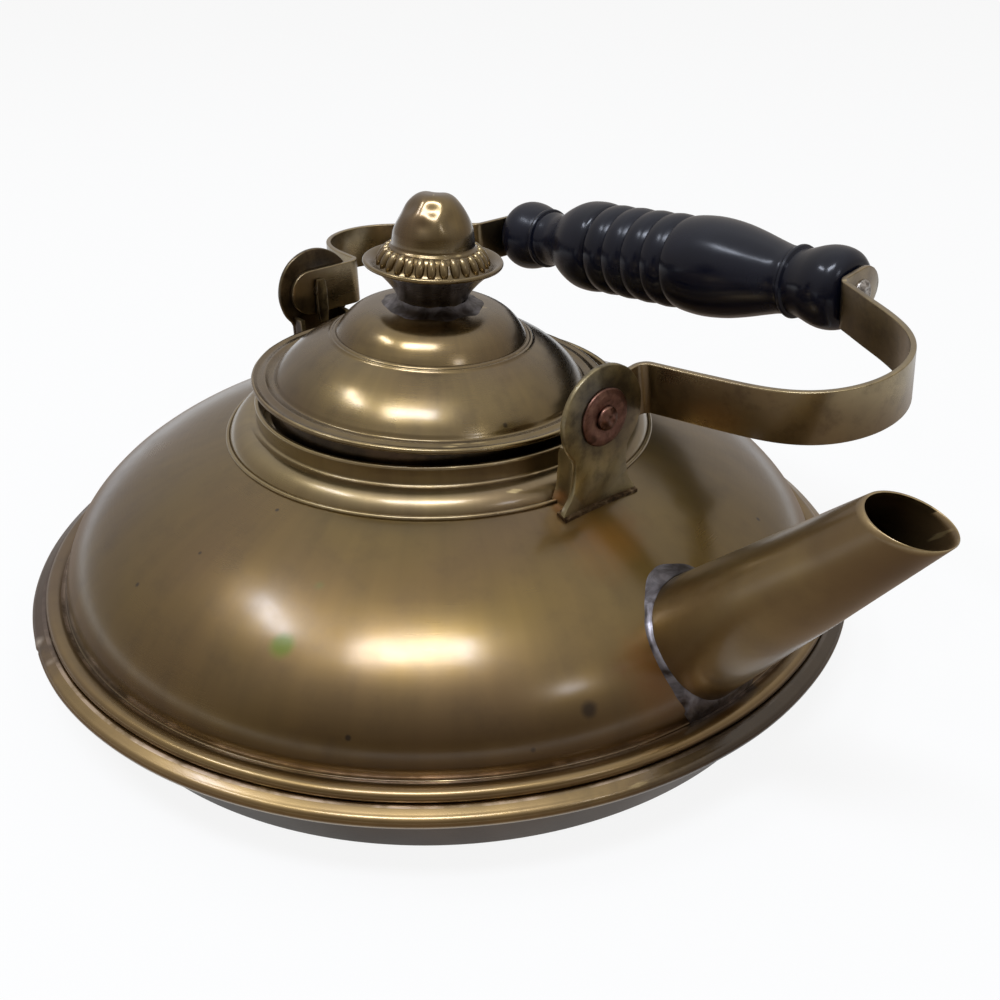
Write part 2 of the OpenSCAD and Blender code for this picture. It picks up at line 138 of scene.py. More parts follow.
@dataclass(frozen=True)
class Mark:
    """A stain or scar at one place, or a patch of painted shade: where it is, how wide, its colour and how
    strong.
    """

    place: Point3
    radius: float
    colour: str
    strength: float = 1.0
    ragged: float = 0.35

    def share(self, tree: Tree, place: Socket, blotch: Socket) -> Socket:
        """How much of the mark shows at each point: a ragged round patch with a soft edge.

        Args:
            tree: the node tree.
            place: the point on the piece.
            blotch: the noise that frays the patch's edge.

        Returns:
            The share, from 0 to the mark's strength.
        """
        away = add(tree, "VectorMath", {0: place, 1: [v * MM for v in self.place]}, operation="DISTANCE")
        radius = self.radius * MM
        edge = add(tree, "Math", {0: blotch, 1: radius * self.ragged * 2, 2: away.outputs["Value"]},
                   operation="MULTIPLY_ADD")
        inside = add(tree, "MapRange", {0: edge.outputs[0], 1: radius * (1 + self.ragged),
                                        2: radius * (0.75 - self.ragged * 0.5), 3: 0.0, 4: self.strength},
                     interpolation_type="SMOOTHSTEP")
        return inside.outputs[0]


@dataclass(frozen=True)
class AgedBrass:
    """Sheet brass that was buffed long ago and has tarnished to olive brown.

    The metal is still smooth, so it keeps soft window-like reflections. A thin film of old
    lacquer and grease adds a pale sheen at low angles and a whiter heart to the highlights,
    and the high edges are rubbed back to yellow.
    """

    name: str
    tarnish: str = "#665229"
    rubbed: str = "#735d2c"
    deep: str = "#3b2a14"
    # deep is the colour of the dark stains and also of the painted shade low on the piece
    edge: str = "#d2bb86"
    dirt: str = "#2b2013"
    bead: str = "#8e7446"
    worn: str = "#cdb6a0"
    roughness: float = 0.27
    lacquer: float = 0.75
    pink: str = "#5e4630"
    clouds: float = 38.0
    blotches: float = 8.0
    buffing: float = 0.55
    specks: float = 11.0
    # painted shade: the piece is painted dark below this height, fading in over the next height
    painted_shade_below: float = -1.0
    painted_shade_fade: float = 1.0
    wear: float = 0.6
    stain: float = 0.12
    marks: tuple[Mark, ...] = ()
    rub_radius: float = 0.0
    rub_width: float = 1.0

    def tarnish_layers(self, tree: Tree, place: Socket, height: Socket, cloud: Socket,
                       blotch: Socket) -> list[Layer]:
        """What years of air and dirt laid over the brass, and the painted shade low on the piece.

        Args:
            tree: the node tree.
            place: the point on the piece.
            height: its height.
            cloud: broad noise.
            blotch: fine noise.

        Returns:
            The share and colour of each layer, from the lowest up.
        """
        broad = add(tree, "TexNoise", {"Vector": place, "Scale": 600 / self.clouds, "Detail": 2.0})
        warmer = add(tree, "MapRange", {0: broad.outputs["Fac"], 1: 0.45, 2: 0.68, 3: 0.0, 4: 0.55})
        dark = add(tree, "ValToRGB", {"Fac": blotch}, ramp=[(0.30, 1.0), (0.50, 0.0)])
        stained = add(tree, "Math", {0: dark.outputs["Color"], 1: self.stain}, operation="MULTIPLY")
        layers = [(warmer.outputs[0], self.pink), (stained.outputs[0], self.deep)]
        if self.painted_shade_below > 0:
            # painted shade: the foot of the piece is painted dark brown, for the shade and the dim floor
            # that it mirrors low down
            ragged = add(tree, "Math", {0: cloud, 1: self.painted_shade_fade * MM * 0.9, 2: height},
                         operation="MULTIPLY_ADD")
            low = add(tree, "MapRange", {0: ragged.outputs[0], 1: (self.painted_shade_below + self.painted_shade_fade) * MM,
                                         2: self.painted_shade_below * MM, 3: 0.0, 4: 0.6},
                      interpolation_type="SMOOTHSTEP")
            layers.append((low.outputs[0], self.deep))
        # dark specks of old dirt, a few to the hand's breadth
        cells = add(tree, "TexVoronoi", {"Vector": place, "Scale": 1000 / self.specks})
        dot = add(tree, "ValToRGB", {"Fac": cells.outputs["Distance"]}, ramp=[(0.035, 1.0), (0.075, 0.0)])
        chosen = add(tree, "ValToRGB", {"Fac": cells.outputs["Color"]}, ramp=[(0.60, 0.0), (0.64, 0.8)])
        speck = add(tree, "Math", {0: dot.outputs["Color"], 1: chosen.outputs["Color"]},
                    operation="MULTIPLY")
        return [*layers, (speck.outputs[0], self.dirt)]

    def wear_layers(self, tree: Tree, radius: Socket, blotch: Socket) -> list[Layer]:
        """Where hands and cloths have rubbed the tarnish off again.

        Args:
            tree: the node tree.
            radius: the point's distance from the axis.
            blotch: the noise that breaks the rubbing up.

        Returns:
            The share and colour of each layer, from the lowest up.
        """
        # rubbed edges: the pointy parts of the mesh
        point = add(tree, "ValToRGB", {"Fac": add(tree, "NewGeometry").outputs["Pointiness"]},
                    ramp=[(0.515, 0.0), (0.60, 1.0)])
        patchy = add(tree, "ValToRGB", {"Fac": blotch}, ramp=[(0.35, 0.25), (0.6, 1.0)])
        rubbed = add(tree, "Math", {0: point.outputs["Color"], 1: patchy.outputs["Color"]},
                     operation="MULTIPLY")
        rubbed = add(tree, "Math", {0: rubbed.outputs[0], 1: self.wear}, operation="MULTIPLY")
        layers = [(rubbed.outputs[0], self.edge)]
        if self.rub_radius > 0:
            # the bead beyond the ring is bright from handling; the ring itself is worn pale
            beyond = add(tree, "MapRange", {0: radius, 1: (self.rub_radius - 0.3) * MM,
                                            2: (self.rub_radius + 0.6) * MM, 3: 0.0, 4: 0.55})
            near = add(tree, "Math", {0: radius, 1: self.rub_radius * MM, 2: self.rub_width * MM},
                       operation="COMPARE")
            broken = add(tree, "ValToRGB", {"Fac": blotch}, ramp=[(0.40, 0.05), (0.56, 0.7)])
            ring = add(tree, "Math", {0: near.outputs[0], 1: broken.outputs["Color"]},
                       operation="MULTIPLY")
            layers += [(beyond.outputs[0], self.bead), (ring.outputs[0], self.worn)]
        return layers

    def build(self) -> Material:
        """Build the node material.

        Returns:
            The finished material.
        """
        material = blank_material(self.name)
        tree = material.node_tree
        place = add(tree, "TexCoord").outputs["Object"]
        axes = add(tree, "SeparateXYZ", {0: place}).outputs
        flat = add(tree, "CombineXYZ", {0: axes["X"], 1: axes["Y"]})
        radius = add(tree, "VectorMath", {0: flat.outputs[0]}, operation="LENGTH").outputs["Value"]
        cloud = add(tree, "TexNoise", {"Vector": place, "Scale": 1000 / self.clouds, "Detail": 3.0,
                                       "Roughness": 0.55, "Distortion": 0.4}).outputs["Fac"]
        blotch = add(tree, "TexNoise", {"Vector": place, "Scale": 1000 / self.blotches, "Detail": 6.0,
                                        "Roughness": 0.62}).outputs["Fac"]
        cloudy = add(tree, "ValToRGB", {"Fac": cloud}, ramp=[(0.36, 0.0), (0.66, 1.0)])
        colour = add(tree, "Mix", {0: cloudy.outputs["Color"], 6: linear(self.tarnish),
                                   7: linear(self.rubbed)}, data_type="RGBA").outputs[2]
        marks = [(mark.share(tree, place, blotch), mark.colour) for mark in self.marks]
        layers = self.tarnish_layers(tree, place, axes["Z"], cloud, blotch)
        layers += self.wear_layers(tree, radius, blotch)
        for share, code in layers + marks:
            colour = add(tree, "Mix", {0: share, 6: colour, 7: linear(code)}, data_type="RGBA").outputs[2]
        rough = add(tree, "MapRange", {0: cloud, 1: 0.3, 2: 0.7, 3: self.roughness + 0.07,
                                       4: self.roughness - 0.05}).outputs[0]
        # every mark is duller than the metal round it, a stain and a patch of painted shade alike
        for share, _ in marks:
            rough = add(tree, "Math", {0: share, 1: 0.12, 2: rough}, operation="MULTIPLY_ADD").outputs[0]
        # buffing lines run round the axis, so they depend on radius and height only; real ones are
        # finer, but would not show
        across = add(tree, "CombineXYZ", {0: radius, 1: axes["Z"]})
        lines = add(tree, "TexNoise", {"Vector": across.outputs[0], "Scale": 1000 / self.buffing,
                                       "Detail": 2.0}).outputs["Fac"]
        rough = add(tree, "Math", {0: lines, 1: 0.08, 2: rough}, operation="MULTIPLY_ADD").outputs[0]
        # faint streaks, 7 mm wide at the rim, run down the skin where years of wiping and drips went
        turn = add(tree, "Math", {0: axes["Y"], 1: axes["X"]}, operation="ARCTAN2")
        around = add(tree, "CombineXYZ", {0: turn.outputs[0], 1: radius})
        streak = add(tree, "TexNoise", {"Vector": around.outputs[0], "Scale": 15.0, "Detail": 3.0})
        tint = add(tree, "MapRange", {0: streak.outputs["Fac"], 1: 0.3, 2: 0.7, 3: 0.92, 4: 1.07})
        tinted = add(tree, "VectorMath", {0: colour, "Scale": tint.outputs[0]}, operation="SCALE")
        relief = add(tree, "Math", {0: blotch, 1: lines}, operation="ADD")
        bump = add(tree, "Bump", {"Strength": 0.2, "Distance": 0.02 * MM, "Height": relief.outputs[0]})
        # the film is duller where the blotches lie, which softens the highlights' edges
        film = add(tree, "MapRange", {0: blotch, 1: 0.35, 2: 0.65, 3: 0.22, 4: 0.14})
        shader = add(tree, "BsdfPrincipled", {"Base Color": tinted.outputs[0], "Roughness": rough,
                                              "Metallic": 1.0, "Normal": bump.outputs[0],
                                              "Coat Weight": self.lacquer, "Coat IOR": 1.5,
                                              "Coat Roughness": film.outputs[0]})
        add(tree, "OutputMaterial", {"Surface": shader.outputs[0]})
        return material


@dataclass(frozen=True)
class DullMetal:
    """Soft solder, copper or iron: grey or pink metal, lumpy and dulled by oxide and flux."""

    name: str
    colour: str
    dirt: str
    pale: str
    roughness: float = 0.42
    lumps: float = 2.2
    relief: float = 0.12

    def build(self) -> Material:
        """Build the node material.

        Returns:
            The finished material.
        """
        material = blank_material(self.name)
        tree = material.node_tree
        place = add(tree, "TexCoord").outputs["Object"]
        lump = add(tree, "TexNoise", {"Vector": place, "Scale": 1000 / self.lumps, "Detail": 5.0,
                                      "Roughness": 0.6, "Distortion": 0.6})
        fine = add(tree, "TexNoise", {"Vector": place, "Scale": 4000 / self.lumps, "Detail": 3.0})
        tones = add(tree, "ValToRGB", {"Fac": lump.outputs["Fac"]},
                    ramp=[(0.33, linear(self.dirt)), (0.5, linear(self.colour)), (0.72, linear(self.pale))])
        rough = add(tree, "MapRange", {0: fine.outputs["Fac"], 1: 0.3, 2: 0.7,
                                       3: self.roughness - 0.08, 4: self.roughness + 0.12})
        bump = add(tree, "Bump", {"Strength": 0.5, "Distance": self.relief * MM,
                                  "Height": lump.outputs["Fac"]})
        shader = add(tree, "BsdfPrincipled", {"Base Color": tones.outputs["Color"],
                                              "Roughness": rough.outputs[0], "Metallic": 1.0,
                                              "Normal": bump.outputs[0]})
        add(tree, "OutputMaterial", {"Surface": shader.outputs[0]})
        return material


@dataclass(frozen=True)
class EbonisedWood:
    """Turned wood, stained blue-black and polished with shellac.

    The eye sees a deep gloss with pale rubbed rings where the lathe left an edge.
    """

    name: str = "ebonised_wood_shellac"
    stain: str = "#06070f"
    sheen: str = "#0f1220"
    rubbed: str = "#5c5a5c"
    roughness: float = 0.2
    grain: float = 1.4

    def build(self) -> Material:
        """Build the node material.

        Returns:
            The finished material.
        """
        material = blank_material(self.name)
        tree = material.node_tree
        place = add(tree, "TexCoord").outputs["Object"]
        # the grain runs along the grip, so it is drawn out ten times along X
        along = add(tree, "Mapping", {"Vector": place, "Scale": (0.1, 1.0, 1.0)})
        grain = add(tree, "TexNoise", {"Vector": along.outputs[0], "Scale": 1000 / self.grain,
                                       "Detail": 4.0, "Roughness": 0.6})
        cloud = add(tree, "TexNoise", {"Vector": place, "Scale": 1000 / 16.0, "Detail": 3.0})
        tone = add(tree, "Mix", {0: cloud.outputs["Fac"], 6: linear(self.stain), 7: linear(self.sheen)},
                   data_type="RGBA")
        point = add(tree, "ValToRGB", {"Fac": add(tree, "NewGeometry").outputs["Pointiness"]},
                    ramp=[(0.53, 0.0), (0.66, 0.5)])
        rubbed = add(tree, "Math", {0: point.outputs["Color"], 1: grain.outputs["Fac"]},
                     operation="MULTIPLY")
        colour = add(tree, "Mix", {0: rubbed.outputs[0], 6: tone.outputs[2], 7: linear(self.rubbed)},
                     data_type="RGBA")
        rough = add(tree, "MapRange", {0: cloud.outputs["Fac"], 1: 0.3, 2: 0.7,
                                       3: self.roughness - 0.06, 4: self.roughness + 0.1})
        bump = add(tree, "Bump", {"Strength": 0.12, "Distance": 0.05 * MM, "Height": grain.outputs["Fac"]})
        # handling has dulled the shellac, so it mirrors a third less than a fresh coat
        shader = add(tree, "BsdfPrincipled", {"Base Color": colour.outputs[2], "Metallic": 0.0, "IOR": 1.45,
                                              "Roughness": rough.outputs[0],
                                              "Specular IOR Level": 0.34,
                                              "Normal": bump.outputs[0]})
        add(tree, "OutputMaterial", {"Surface": shader.outputs[0]})
        return material


# ---------------------------------------------------------------- mesh helpers


def ruffle(place: Vector, size: float, seed: float = 0.0) -> float:
    """Smooth noise from -1 to 1 with lumps of that size.

    Args:
        place: the point, in millimetres.
        size: the width of a lump, in millimetres.
        seed: picks another field of the same kind.

    Returns:
        The noise at that point.
    """
    return noise.noise(place / size + Vector((seed, seed * 0.37, -seed)))


def arc(centre: Point, radius: float, start: float, end: float, steps: int) -> list[Point]:
    """Points of a circular arc.

    Args:
        centre: the arc's middle.
        radius: its radius.
        start: first angle in degrees.
        end: last angle in degrees.
        steps: number of pieces.

    Returns:
        steps + 1 points.
    """
    turn = [math.radians(start + (end - start) * i / steps) for i in range(steps + 1)]
    return [(centre[0] + radius * math.cos(t), centre[1] + radius * math.sin(t)) for t in turn]


def curve_through(points: Sequence[Point], steps: int = 6) -> list[Point]:
    """A smooth line through the points (Catmull-Rom).

    Args:
        points: the points to pass.
        steps: pieces between two of them.

    Returns:
        The dense line.
    """
    line: list[Point] = []
    padded = [points[0], *points, points[-1]]
    for before, start, end, after in zip(padded, padded[1:], padded[2:], padded[3:]):
        for i in range(steps):
            t = i / steps
            line.append(tuple(
                0.5 * (2 * s + (e - b) * t + (2 * b - 5 * s + 4 * e - a) * t * t
                       + (3 * s - b - 3 * e + a) * t ** 3)
                for b, s, e, a in zip(before, start, end, after)))
    line.append(tuple(points[-1]))
    return line


def rounded(points: Sequence[Point], radius: float, steps: int = 3, closed: bool = True) -> list[Point]:
    """Round every corner of a line with a small arc-like curve.

    Args:
        points: the corners.
        radius: how far from each corner the rounding starts, at most.
        steps: pieces in each rounding.
        closed: whether the line runs back to its start.

    Returns:
        The line with its corners rounded.
    """
    count, line = len(points), []
    for i, corner in enumerate(points):
        if not closed and i in (0, count - 1):
            line.append(corner)
            continue
        here = Vector(corner)
        back, on = Vector(points[i - 1]) - here, Vector(points[(i + 1) % count]) - here
        reach = min(radius, back.length * 0.45, on.length * 0.45)
        start, end = here + back.normalized() * reach, here + on.normalized() * reach
        for k in range(steps + 1):
            t = k / steps
            point = start * (1 - t) ** 2 + here * (2 * t * (1 - t)) + end * t * t
            line.append((point.x, point.y))
    return line


def to_object(bm: Mesh, name: str, place: Optional[Matrix] = None,
              shift: Optional[Shift] = None, crease: float = 40.0) -> bpy.types.Object:
    """Turn a mesh in millimetres into an object in metres, smooth but for its sharp edges.

    Args:
        bm: the mesh being built; it is freed.
        name: the object's name.
        place: where the mesh goes in the kettle's frame.
        shift: moves each placed point, for dents and unevenness.
        crease: edges that turn more than this many degrees stay sharp.

    Returns:
        The new object, linked into the scene.
    """
    for vertex in bm.verts:
        if place:
            vertex.co = place @ vertex.co
        if shift:
            vertex.co = vertex.co + shift(vertex.co)
    bmesh.ops.recalc_face_normals(bm, faces=bm.faces)
    for face in bm.faces:
        face.smooth = True
    for edge in bm.edges:
        if len(edge.link_faces) == 2 and edge.calc_face_angle(0.0) > math.radians(crease):
            edge.smooth = False
    bmesh.ops.scale(bm, vec=(MM, MM, MM), verts=bm.verts)
    mesh = bpy.data.meshes.new(name)
    bm.to_mesh(mesh)
    bm.free()
    made = bpy.data.objects.new(name, mesh)
    bpy.context.scene.collection.objects.link(made)
    return made


def skin(bm: Mesh, rings: Sequence[Sequence[Vector]], loop: bool = False, cap: bool = False) -> None:
    """Stretch faces over rings of points.

    Args:
        bm: the mesh being built.
        rings: closed rows of points, all of one length.
        loop: whether the last ring joins the first.
        cap: whether the first and the last ring are closed with a face.
    """
    rows = [[bm.verts.new(point) for point in ring] for ring in rings]
    pairs = list(zip(rows, rows[1:])) + ([(rows[-1], rows[0])] if loop else [])
    for low, high in pairs:
        for i in range(len(low)):
            j = (i + 1) % len(low)
            bm.faces.new((low[i], low[j], high[j], high[i]))
    if cap:
        bm.faces.new(reversed(rows[0]))
        bm.faces.new(rows[-1])


def turned(outline: Sequence[Point], sides: int = 240, closed: bool = True) -> Mesh:
    """Turn an outline round the Z axis.

    Args:
        outline: (radius, height) points; a radius of nought is drawn as one point.
        sides: number of strips round the axis.
        closed: whether the outline runs back to its start.

    Returns:
        The mesh, in millimetres.
    """
    bm = bmesh.new()
    turn = [(math.cos(math.tau * k / sides), math.sin(math.tau * k / sides)) for k in range(sides)]
    rows = []
    for radius, height in outline:
        if radius < 1e-6:
            rows.append([bm.verts.new((0, 0, height))])
        else:
            rows.append([bm.verts.new((radius * c, radius * s, height)) for c, s in turn])
    pairs = list(zip(rows, rows[1:])) + ([(rows[-1], rows[0])] if closed else [])
    for low, high in pairs:
        if len(low) == 1 and len(high) == 1:
            continue
        for k in range(sides):
            n = (k + 1) % sides
            if len(low) == 1:
                bm.faces.new((low[0], high[n], high[k]))
            elif len(high) == 1:
                bm.faces.new((low[k], low[n], high[0]))
            else:
                bm.faces.new((low[k], low[n], high[n], high[k]))
    return bm


def plate(outline: Sequence[Point], x0: float, thick: float, edge: float = 0.3) -> Mesh:
    """A flat plate in the YZ plane with softened edges.

    Args:
        outline: (y, z) corners, anticlockwise seen from +X.
        x0: the inner face's X.
        thick: the plate's thickness.
        edge: how far the edges are rounded.

    Returns:
        The mesh, in millimetres.
    """
    bm = bmesh.new()
    middle = Vector((sum(p[0] for p in outline), sum(p[1] for p in outline))) / len(outline)
    rings = []
    for x, inset in ((0, edge), (edge * 0.3, edge * 0.3), (edge, 0), (thick - edge, 0),
                     (thick - edge * 0.3, edge * 0.3), (thick, edge)):
        ring = []
        for y, z in outline:
            away = Vector((y, z)) - middle
            away *= 1 - inset / max(away.length, 1.0)
            ring.append(Vector((x0 + x, middle.x + away.x, middle.y + away.y)))
        rings.append(ring)
    skin(bm, rings, cap=True)
    return bm


def dress(piece: bpy.types.Object, body: Body, slot: str, material: Material, *nodes: str) -> None:
    """Give a piece its material and body, and hide the solids that it stands for.

    Args:
        piece: the object.
        body: the body it rides on.
        slot: not used.
        material: its material.
        nodes: the solids that it replaces.
    """
    piece.data.materials.clear()
    piece.data.materials.append(material)
    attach(piece, body.value)
    if nodes:
        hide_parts(*nodes)
    LOG.info("%s: %d faces, rides on %s", piece.name, len(piece.data.polygons), body.value)


# ---------------------------------------------------------------- body


@dataclass
class Vessel:
    """The body: flat pan, half-round moulding, domed shoulder and rounded neck."""

    base_r: float = 98.0
    wall_r: float = 104.6
    flare_h: float = 15.0
    seam_h: float = 19.8
    sheet: float = 1.2
    dome_r: float = 100.9
    dome_rise: float = 42.4
    neck_r: float = 47.8
    lip_h: float = 65.4
    collar_w: float = 7.4
    collar_round: float = 6.3
    collar_sink: float = 1.9
    mouth_r: float = 36.5

    @property
    def dome_foot(self) -> float:
        """Height that the shoulder's ellipse stands at, over the pan's upper edge."""
        return self.seam_h + 1.2

    def dome_z(self, radius: float) -> float:
        """Height of the shoulder at that radius."""
        share = min(1.0, radius / self.dome_r)
        return self.dome_foot + self.dome_rise * math.sqrt(1 - share * share)

    def dome_normal(self, place: Vector) -> Vector:
        """The shoulder's outward direction at a point on its face.

        Args:
            place: the point, in millimetres.

        Returns:
            The unit vector.
        """
        flat, rise = self.dome_r ** 2, self.dome_rise ** 2
        up = max(0.0, place.z - self.dome_foot)
        return Vector((place.x / flat, place.y / flat, up / rise)).normalized()

    def dome_line(self, grow: float, start: float, steps: int = 90) -> list[Point]:
        """The shoulder's outline from radius start down to its foot.

        Args:
            grow: how far outside the outer face the line runs.
            start: the radius that it starts at.
            steps: number of pieces.

        Returns:
            The (radius, height) points.
        """
        wide, rise = self.dome_r + grow, self.dome_rise + grow
        first = math.acos(start / wide)
        turn = [first * (1 - i / steps) for i in range(steps + 1)]
        return [(wide * math.cos(t), self.dome_foot + rise * math.sin(t)) for t in turn]

    def unevenness(self, place: Vector) -> Vector:
        """Slight dents of old thin sheet, strongest half way down the shoulder.

        Args:
            place: the point, in millimetres.

        Returns:
            How far the point moves.
        """
        away = Vector((place.x, place.y, (place.z - self.dome_foot) * 2)).normalized()
        height = (place.z - self.dome_foot - 4) / 30
        amount = max(0.0, min(1.0, height, (0.98 - height) * 4))
        depth = 0.34 * ruffle(place, 34.0, 3.0) + 0.10 * ruffle(place, 13.0, 8.0)
        return away * depth * amount

    def rim_wobble(self, place: Vector) -> Vector:
        """The rim's slight waves, from knocks on its edge."""
        out = Vector((place.x, place.y, 0)).normalized()
        return out * 0.16 * ruffle(place, 24.0, 5.0) + Vector((0, 0, 0.12 * ruffle(place, 30.0, 9.0)))

    def build_pan(self, material: Material) -> None:
        """The flat pan under the rim.

        Args:
            material: its finish.
        """
        s = self.sheet
        outer = rounded([(0, 0), (self.base_r, 0), (self.wall_r, self.flare_h), (self.wall_r, self.seam_h),
                         (self.wall_r - s, self.seam_h), (self.wall_r - s, self.flare_h + 0.2),
                         (self.base_r - s - 0.3, s), (0, s)], 1.3, 4, closed=False)
        dress(to_object(turned(outer, closed=False), "pan_sheet"), Body.KETTLE, "pan_brass", material,
              "base_pan")

    def build_moulding(self, material: Material) -> None:
        """The half-round strip round the pan's upright wall, with a lap joint on one side.

        Args:
            material: its finish.
        """
        wall, top = self.wall_r - 0.05, self.seam_h
        nose = (self.wall_r + 3.7, top - 1.75)
        section = [(wall, top - 4.9), (wall + 1.4, top - 4.7), (wall + 3.0, top - 4.1)]
        section += arc(nose, 1.66, -62, 78, 16)
        section += rounded([(nose[0] + 0.2, top - 0.05), (wall + 2.6, top + 0.5), (wall + 1.75, top + 0.55),
                            (wall + 1.05, top + 0.15), (wall, top + 0.05)], 0.4, 4, closed=False)
        joint = math.radians(-103.0)

        def shift(place: Vector) -> Vector:
            """Waves and the lap joint outside; the face against the pan's wall stays round.

            Args:
                place: the point, in millimetres.

            Returns:
                How far the point moves.
            """
            turn = (math.atan2(place.y, place.x) - joint + math.pi) % math.tau - math.pi
            lap = 0.12 * math.exp(-(turn / 0.012) ** 2) - 0.30 * math.exp(-((turn - 0.02) / 0.006) ** 2)
            out = Vector((place.x, place.y, 0)).normalized()
            inner = math.hypot(place.x, place.y) < self.wall_r + 0.5
            return Vector((0, 0, 0)) if inner else self.rim_wobble(place) + out * lap

        dress(to_object(turned(section, 480), "rim_moulding_strip", shift=shift), Body.KETTLE,
              "rim_brass", material, "rim_moulding")

    def build_shoulder(self, material: Material, spout: "Spout") -> None:
        """The domed sheet with its rolled bead and the ledge inside the neck, cut for the spout.

        Args:
            material: its finish.
            spout: the spout that its hole is cut for.
        """
        s = self.sheet
        nose, top = (self.dome_r + 3.7, self.seam_h + 1.3), self.seam_h + 1.8
        ledge = self.dome_z(self.neck_r)
        outline = rounded([(self.mouth_r, ledge - s), (self.mouth_r, ledge), (self.neck_r - 0.6, ledge)],
                          0.5, 3, closed=False)
        outline += self.dome_line(0, self.neck_r)[:-3]
        outline += rounded([(self.dome_r - 0.02, top + 0.5), (self.dome_r + 0.25, top),
                            (self.dome_r + 0.9, top + 0.2), (self.dome_r + 2.1, top + 0.85),
                            (nose[0] - 0.4, top + 1.05)], 0.4, 4, closed=False)
        outline += arc(nose, 1.57, 84, -70, 18)
        outline += [(self.wall_r, self.seam_h), (self.dome_r - s, self.seam_h)]
        outline += list(reversed(self.dome_line(-s, self.neck_r)))
        shell = to_object(turned(outline, 288), "shoulder_sheet",
                          shift=lambda p: self.unevenness(p) if math.hypot(p.x, p.y) < self.dome_r else
                          self.rim_wobble(p) * (1.0 if p.z > self.seam_h + 0.4 else 0.0))
        cutter = to_object(spout.cone(spout.sheet), "spout_cutter")
        cut = shell.modifiers.new("spout_hole", "BOOLEAN")
        cut.object, cut.solver = cutter, "EXACT"
        bpy.context.view_layer.update()
        whole = shell.evaluated_get(bpy.context.evaluated_depsgraph_get())
        mesh = bpy.data.meshes.new_from_object(whole)
        shell.modifiers.clear()
        shell.data = mesh
        bpy.data.objects.remove(cutter)
        dress(shell, Body.KETTLE, "body_brass", material, "body_shell")

    def build_neck(self, material: Material) -> None:
        """The upright neck with its rolled lip, rounded back and the fine roll at its foot.

        Args:
            material: its finish.
        """
        inner, lip = self.neck_r - self.sheet, self.sheet / 2
        foot_r = self.neck_r + self.collar_w
        foot = (foot_r, self.dome_z(foot_r))
        reach = math.sqrt(self.collar_round ** 2 - self.collar_sink ** 2)
        middle = (foot_r - reach, foot[1] - self.collar_sink)
        top = math.degrees(math.acos((self.neck_r + 0.15 - middle[0]) / self.collar_round))
        low = math.degrees(math.asin(self.collar_sink / self.collar_round))
        under = self.dome_z(inner)
        outline = [(inner, under), (inner, self.lip_h - lip)]
        outline += arc((self.neck_r - lip, self.lip_h - lip), lip + 0.12, 178, -10, 10)
        outline += rounded([(self.neck_r, self.lip_h - lip - 0.4), (self.neck_r - 0.1, middle[1] + 6.3),
                            (self.neck_r + 0.6, middle[1] + 5.9)], 0.5, 3, closed=False)
        outline += arc(middle, self.collar_round, top - 14, low + 3, 24)
        outline += arc((foot_r + 0.35, foot[1] + 0.15), 0.55, 130, -50, 8)
        outline += [(foot_r + 0.2, self.dome_z(foot_r + 0.2) - 0.5), (inner + 1, under - 0.4)]

        def shift(place: Vector) -> Vector:
            """The neck is a little out of round."""
            return Vector((place.x, place.y, 0)).normalized() * 0.12 * ruffle(place, 21.0, 2.0)

        dress(to_object(turned(outline, 288), "neck_sheet", shift=shift, crease=50), Body.KETTLE,
              "body_brass", material, "neck_collar")


# ---------------------------------------------------------------- spout


